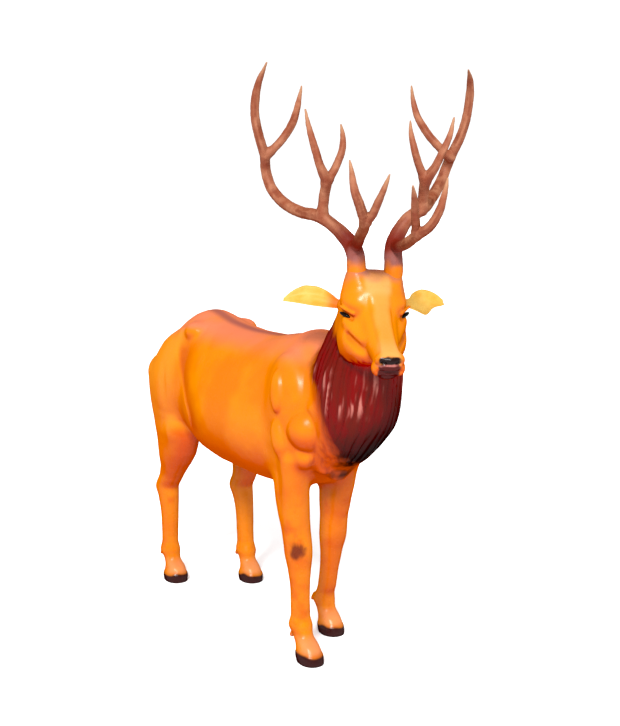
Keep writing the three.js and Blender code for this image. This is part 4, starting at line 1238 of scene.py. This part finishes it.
def build_ear(side, shift):
    root, tip = placed(HEAD, mirrored(side, *EAR_ROOT)), placed(HEAD, mirrored(side, *EAR_TIP))
    along = tip - root
    length = np.linalg.norm(along)
    along = along / length
    facing = square_to(along, turned(HEAD, mirrored(side, *EAR_FACING)))
    across = np.cross(facing, along) * side
    vertices, stems = [], []
    for t in np.linspace(0, 1, EAR_RINGS):
        upper, lower = (float(smooth_curve(EAR_EDGES[side], column, t)) for column in (1, 2))
        half = (upper - lower) / 2
        middle = root + along * length * t + across * (upper + lower) / 2
        for face in SIDES:
            for w in np.linspace(-face, face, EAR_ROWS)[:-1]:
                edge = 0.12 + 0.88 * math.sqrt(max(1 - w * w, 0))
                cup = EAR_CUP * half * (w * w - 0.5)
                fold = EAR_FOLD * math.sin(7 * w + 4 * t) * (1 - w * w) * half / 40
                depth = cup + fold + face * EAR_THICKNESS / 2 * edge
                vertices.append(middle + across * half * w + facing * depth)
                stems.append(1 - t)
    ear = make_tube(f"ear_leaf_{LABELS[side]}", vertices, EAR_RINGS, shift)
    store(ear, stem=smooth_step(np.array(stems), 0.62, 0.85))
    return finish_piece(ear, ear_shader(), f"ear_{LABELS[side]}")


def make_tube(name, vertices, rings, shift):
    """A closed skin over rings that have the same number of points each."""
    sides = len(vertices) // rings
    faces = []
    for low in range(0, (rings - 1) * sides, sides):
        for i in range(sides):
            j = (i + 1) % sides
            faces.append((low + i, low + j, low + sides + j, low + sides + i))
    tube = make_mesh(name, np.array(vertices), np.array(faces), shift)
    close_ends(tube)
    return tube


def finish_piece(obj, material, node):
    obj.data.polygons.foreach_set("use_smooth", np.ones(len(obj.data.polygons), bool))
    obj.data.materials.append(material)
    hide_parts(node)
    return obj


def close_ends(obj):
    mesh = bmesh.new()
    mesh.from_mesh(obj.data)
    open_edges = [edge for edge in mesh.edges if edge.is_boundary]
    bmesh.ops.holes_fill(mesh, edges=open_edges)
    bmesh.ops.recalc_face_normals(mesh, faces=mesh.faces)
    mesh.to_mesh(obj.data)
    mesh.free()


def build_eye(side, shift):
    middle = placed(HEAD, mirrored(side, *EYE_CENTRE))
    first = unit(turned(HEAD, mirrored(side, *EYE_LINE)))
    second = square_to(first, HEAD[2])
    third = np.cross(first, second)
    vertices = []
    for latitude in np.radians(np.linspace(-88, 88, EYE_RINGS)):
        for angle in np.linspace(0, 2 * math.pi, EYE_SIDES, endpoint=False):
            vertices.append(
                middle + first * EYE_RADII[0] * math.sin(latitude)
                + second * EYE_RADII[1] * math.cos(latitude) * math.cos(angle)
                + third * EYE_RADII[2] * math.cos(latitude) * math.sin(angle))
    eye = make_tube(f"eye_glass_{LABELS[side]}", vertices, EYE_RINGS, shift)
    return finish_piece(eye, eye_shader(), f"eye_{LABELS[side]}")


# Stage, lights and camera.
def add_floor():
    mesh = bpy.data.meshes.new("floor")
    corners = [(FLOOR_HALF * x, FLOOR_HALF * y, 0) for x, y in ((-1, -1), (1, -1), (1, 1), (-1, 1))]
    mesh.from_pydata(corners, [], [(0, 1, 2, 3)])
    mesh.materials.append(floor_shader())
    add_object("floor", mesh)


def add_lights():
    world = bpy.data.worlds.new("studio white")
    world.use_nodes = True
    background = world.node_tree.nodes["Background"]
    background.inputs["Color"].default_value = (1, 1, 1, 1)
    background.inputs["Strength"].default_value = WORLD_STRENGTH
    bpy.context.scene.world = world
    sun = add_object("key", bpy.data.lights.new("key", "SUN"))
    sun.data.energy = SUN_STRENGTH
    sun.data.angle = SUN_SPREAD
    sun.rotation_euler = Vector(SUN_TOWARDS).to_track_quat("Z", "Y").to_euler()
    lamp = add_object("left front", bpy.data.lights.new("left front", "AREA"))
    lamp.data.size = LAMP_SIZE
    lamp.data.energy = LAMP_POWER
    lamp.location = LAMP_PLACE
    aim = Vector(LAMP_TARGET) - Vector(LAMP_PLACE)
    lamp.rotation_euler = aim.to_track_quat("-Z", "Y").to_euler()


def add_camera(shift):
    data = bpy.data.cameras.new("camera")
    data.sensor_width = SENSOR_MM
    data.lens = FOCAL_LENGTH_PX / PICTURE_LONG_SIDE_PX * SENSOR_MM
    camera = add_object("camera", data)
    camera.location = np.array(CAMERA_PLACE) * MM + shift
    camera.rotation_euler = (CAMERA_TILT, 0.0, CAMERA_HEADING)
    bpy.context.scene.camera = camera


def stag_shift():
    """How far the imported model's frame lies from the stag frame, in metres."""
    low, high = (np.array(corner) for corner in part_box("eye_right"))
    shift = (low + high) / 2 - placed(HEAD, mirrored(-1, *EYE_CENTRE)) * MM
    shift[2] = 0.0
    return shift


def main():
    shift = stag_shift()
    add_camera(shift)
    add_floor()
    add_lights()
    pieces = [build_body(shift)]
    for side in SIDES:
        pieces += [build_antler(side, shift), build_ear(side, shift), build_eye(side, shift)]
    for piece in pieces:
        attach(piece, "root")
    bpy.context.scene.view_settings.view_transform = "Standard"


main()
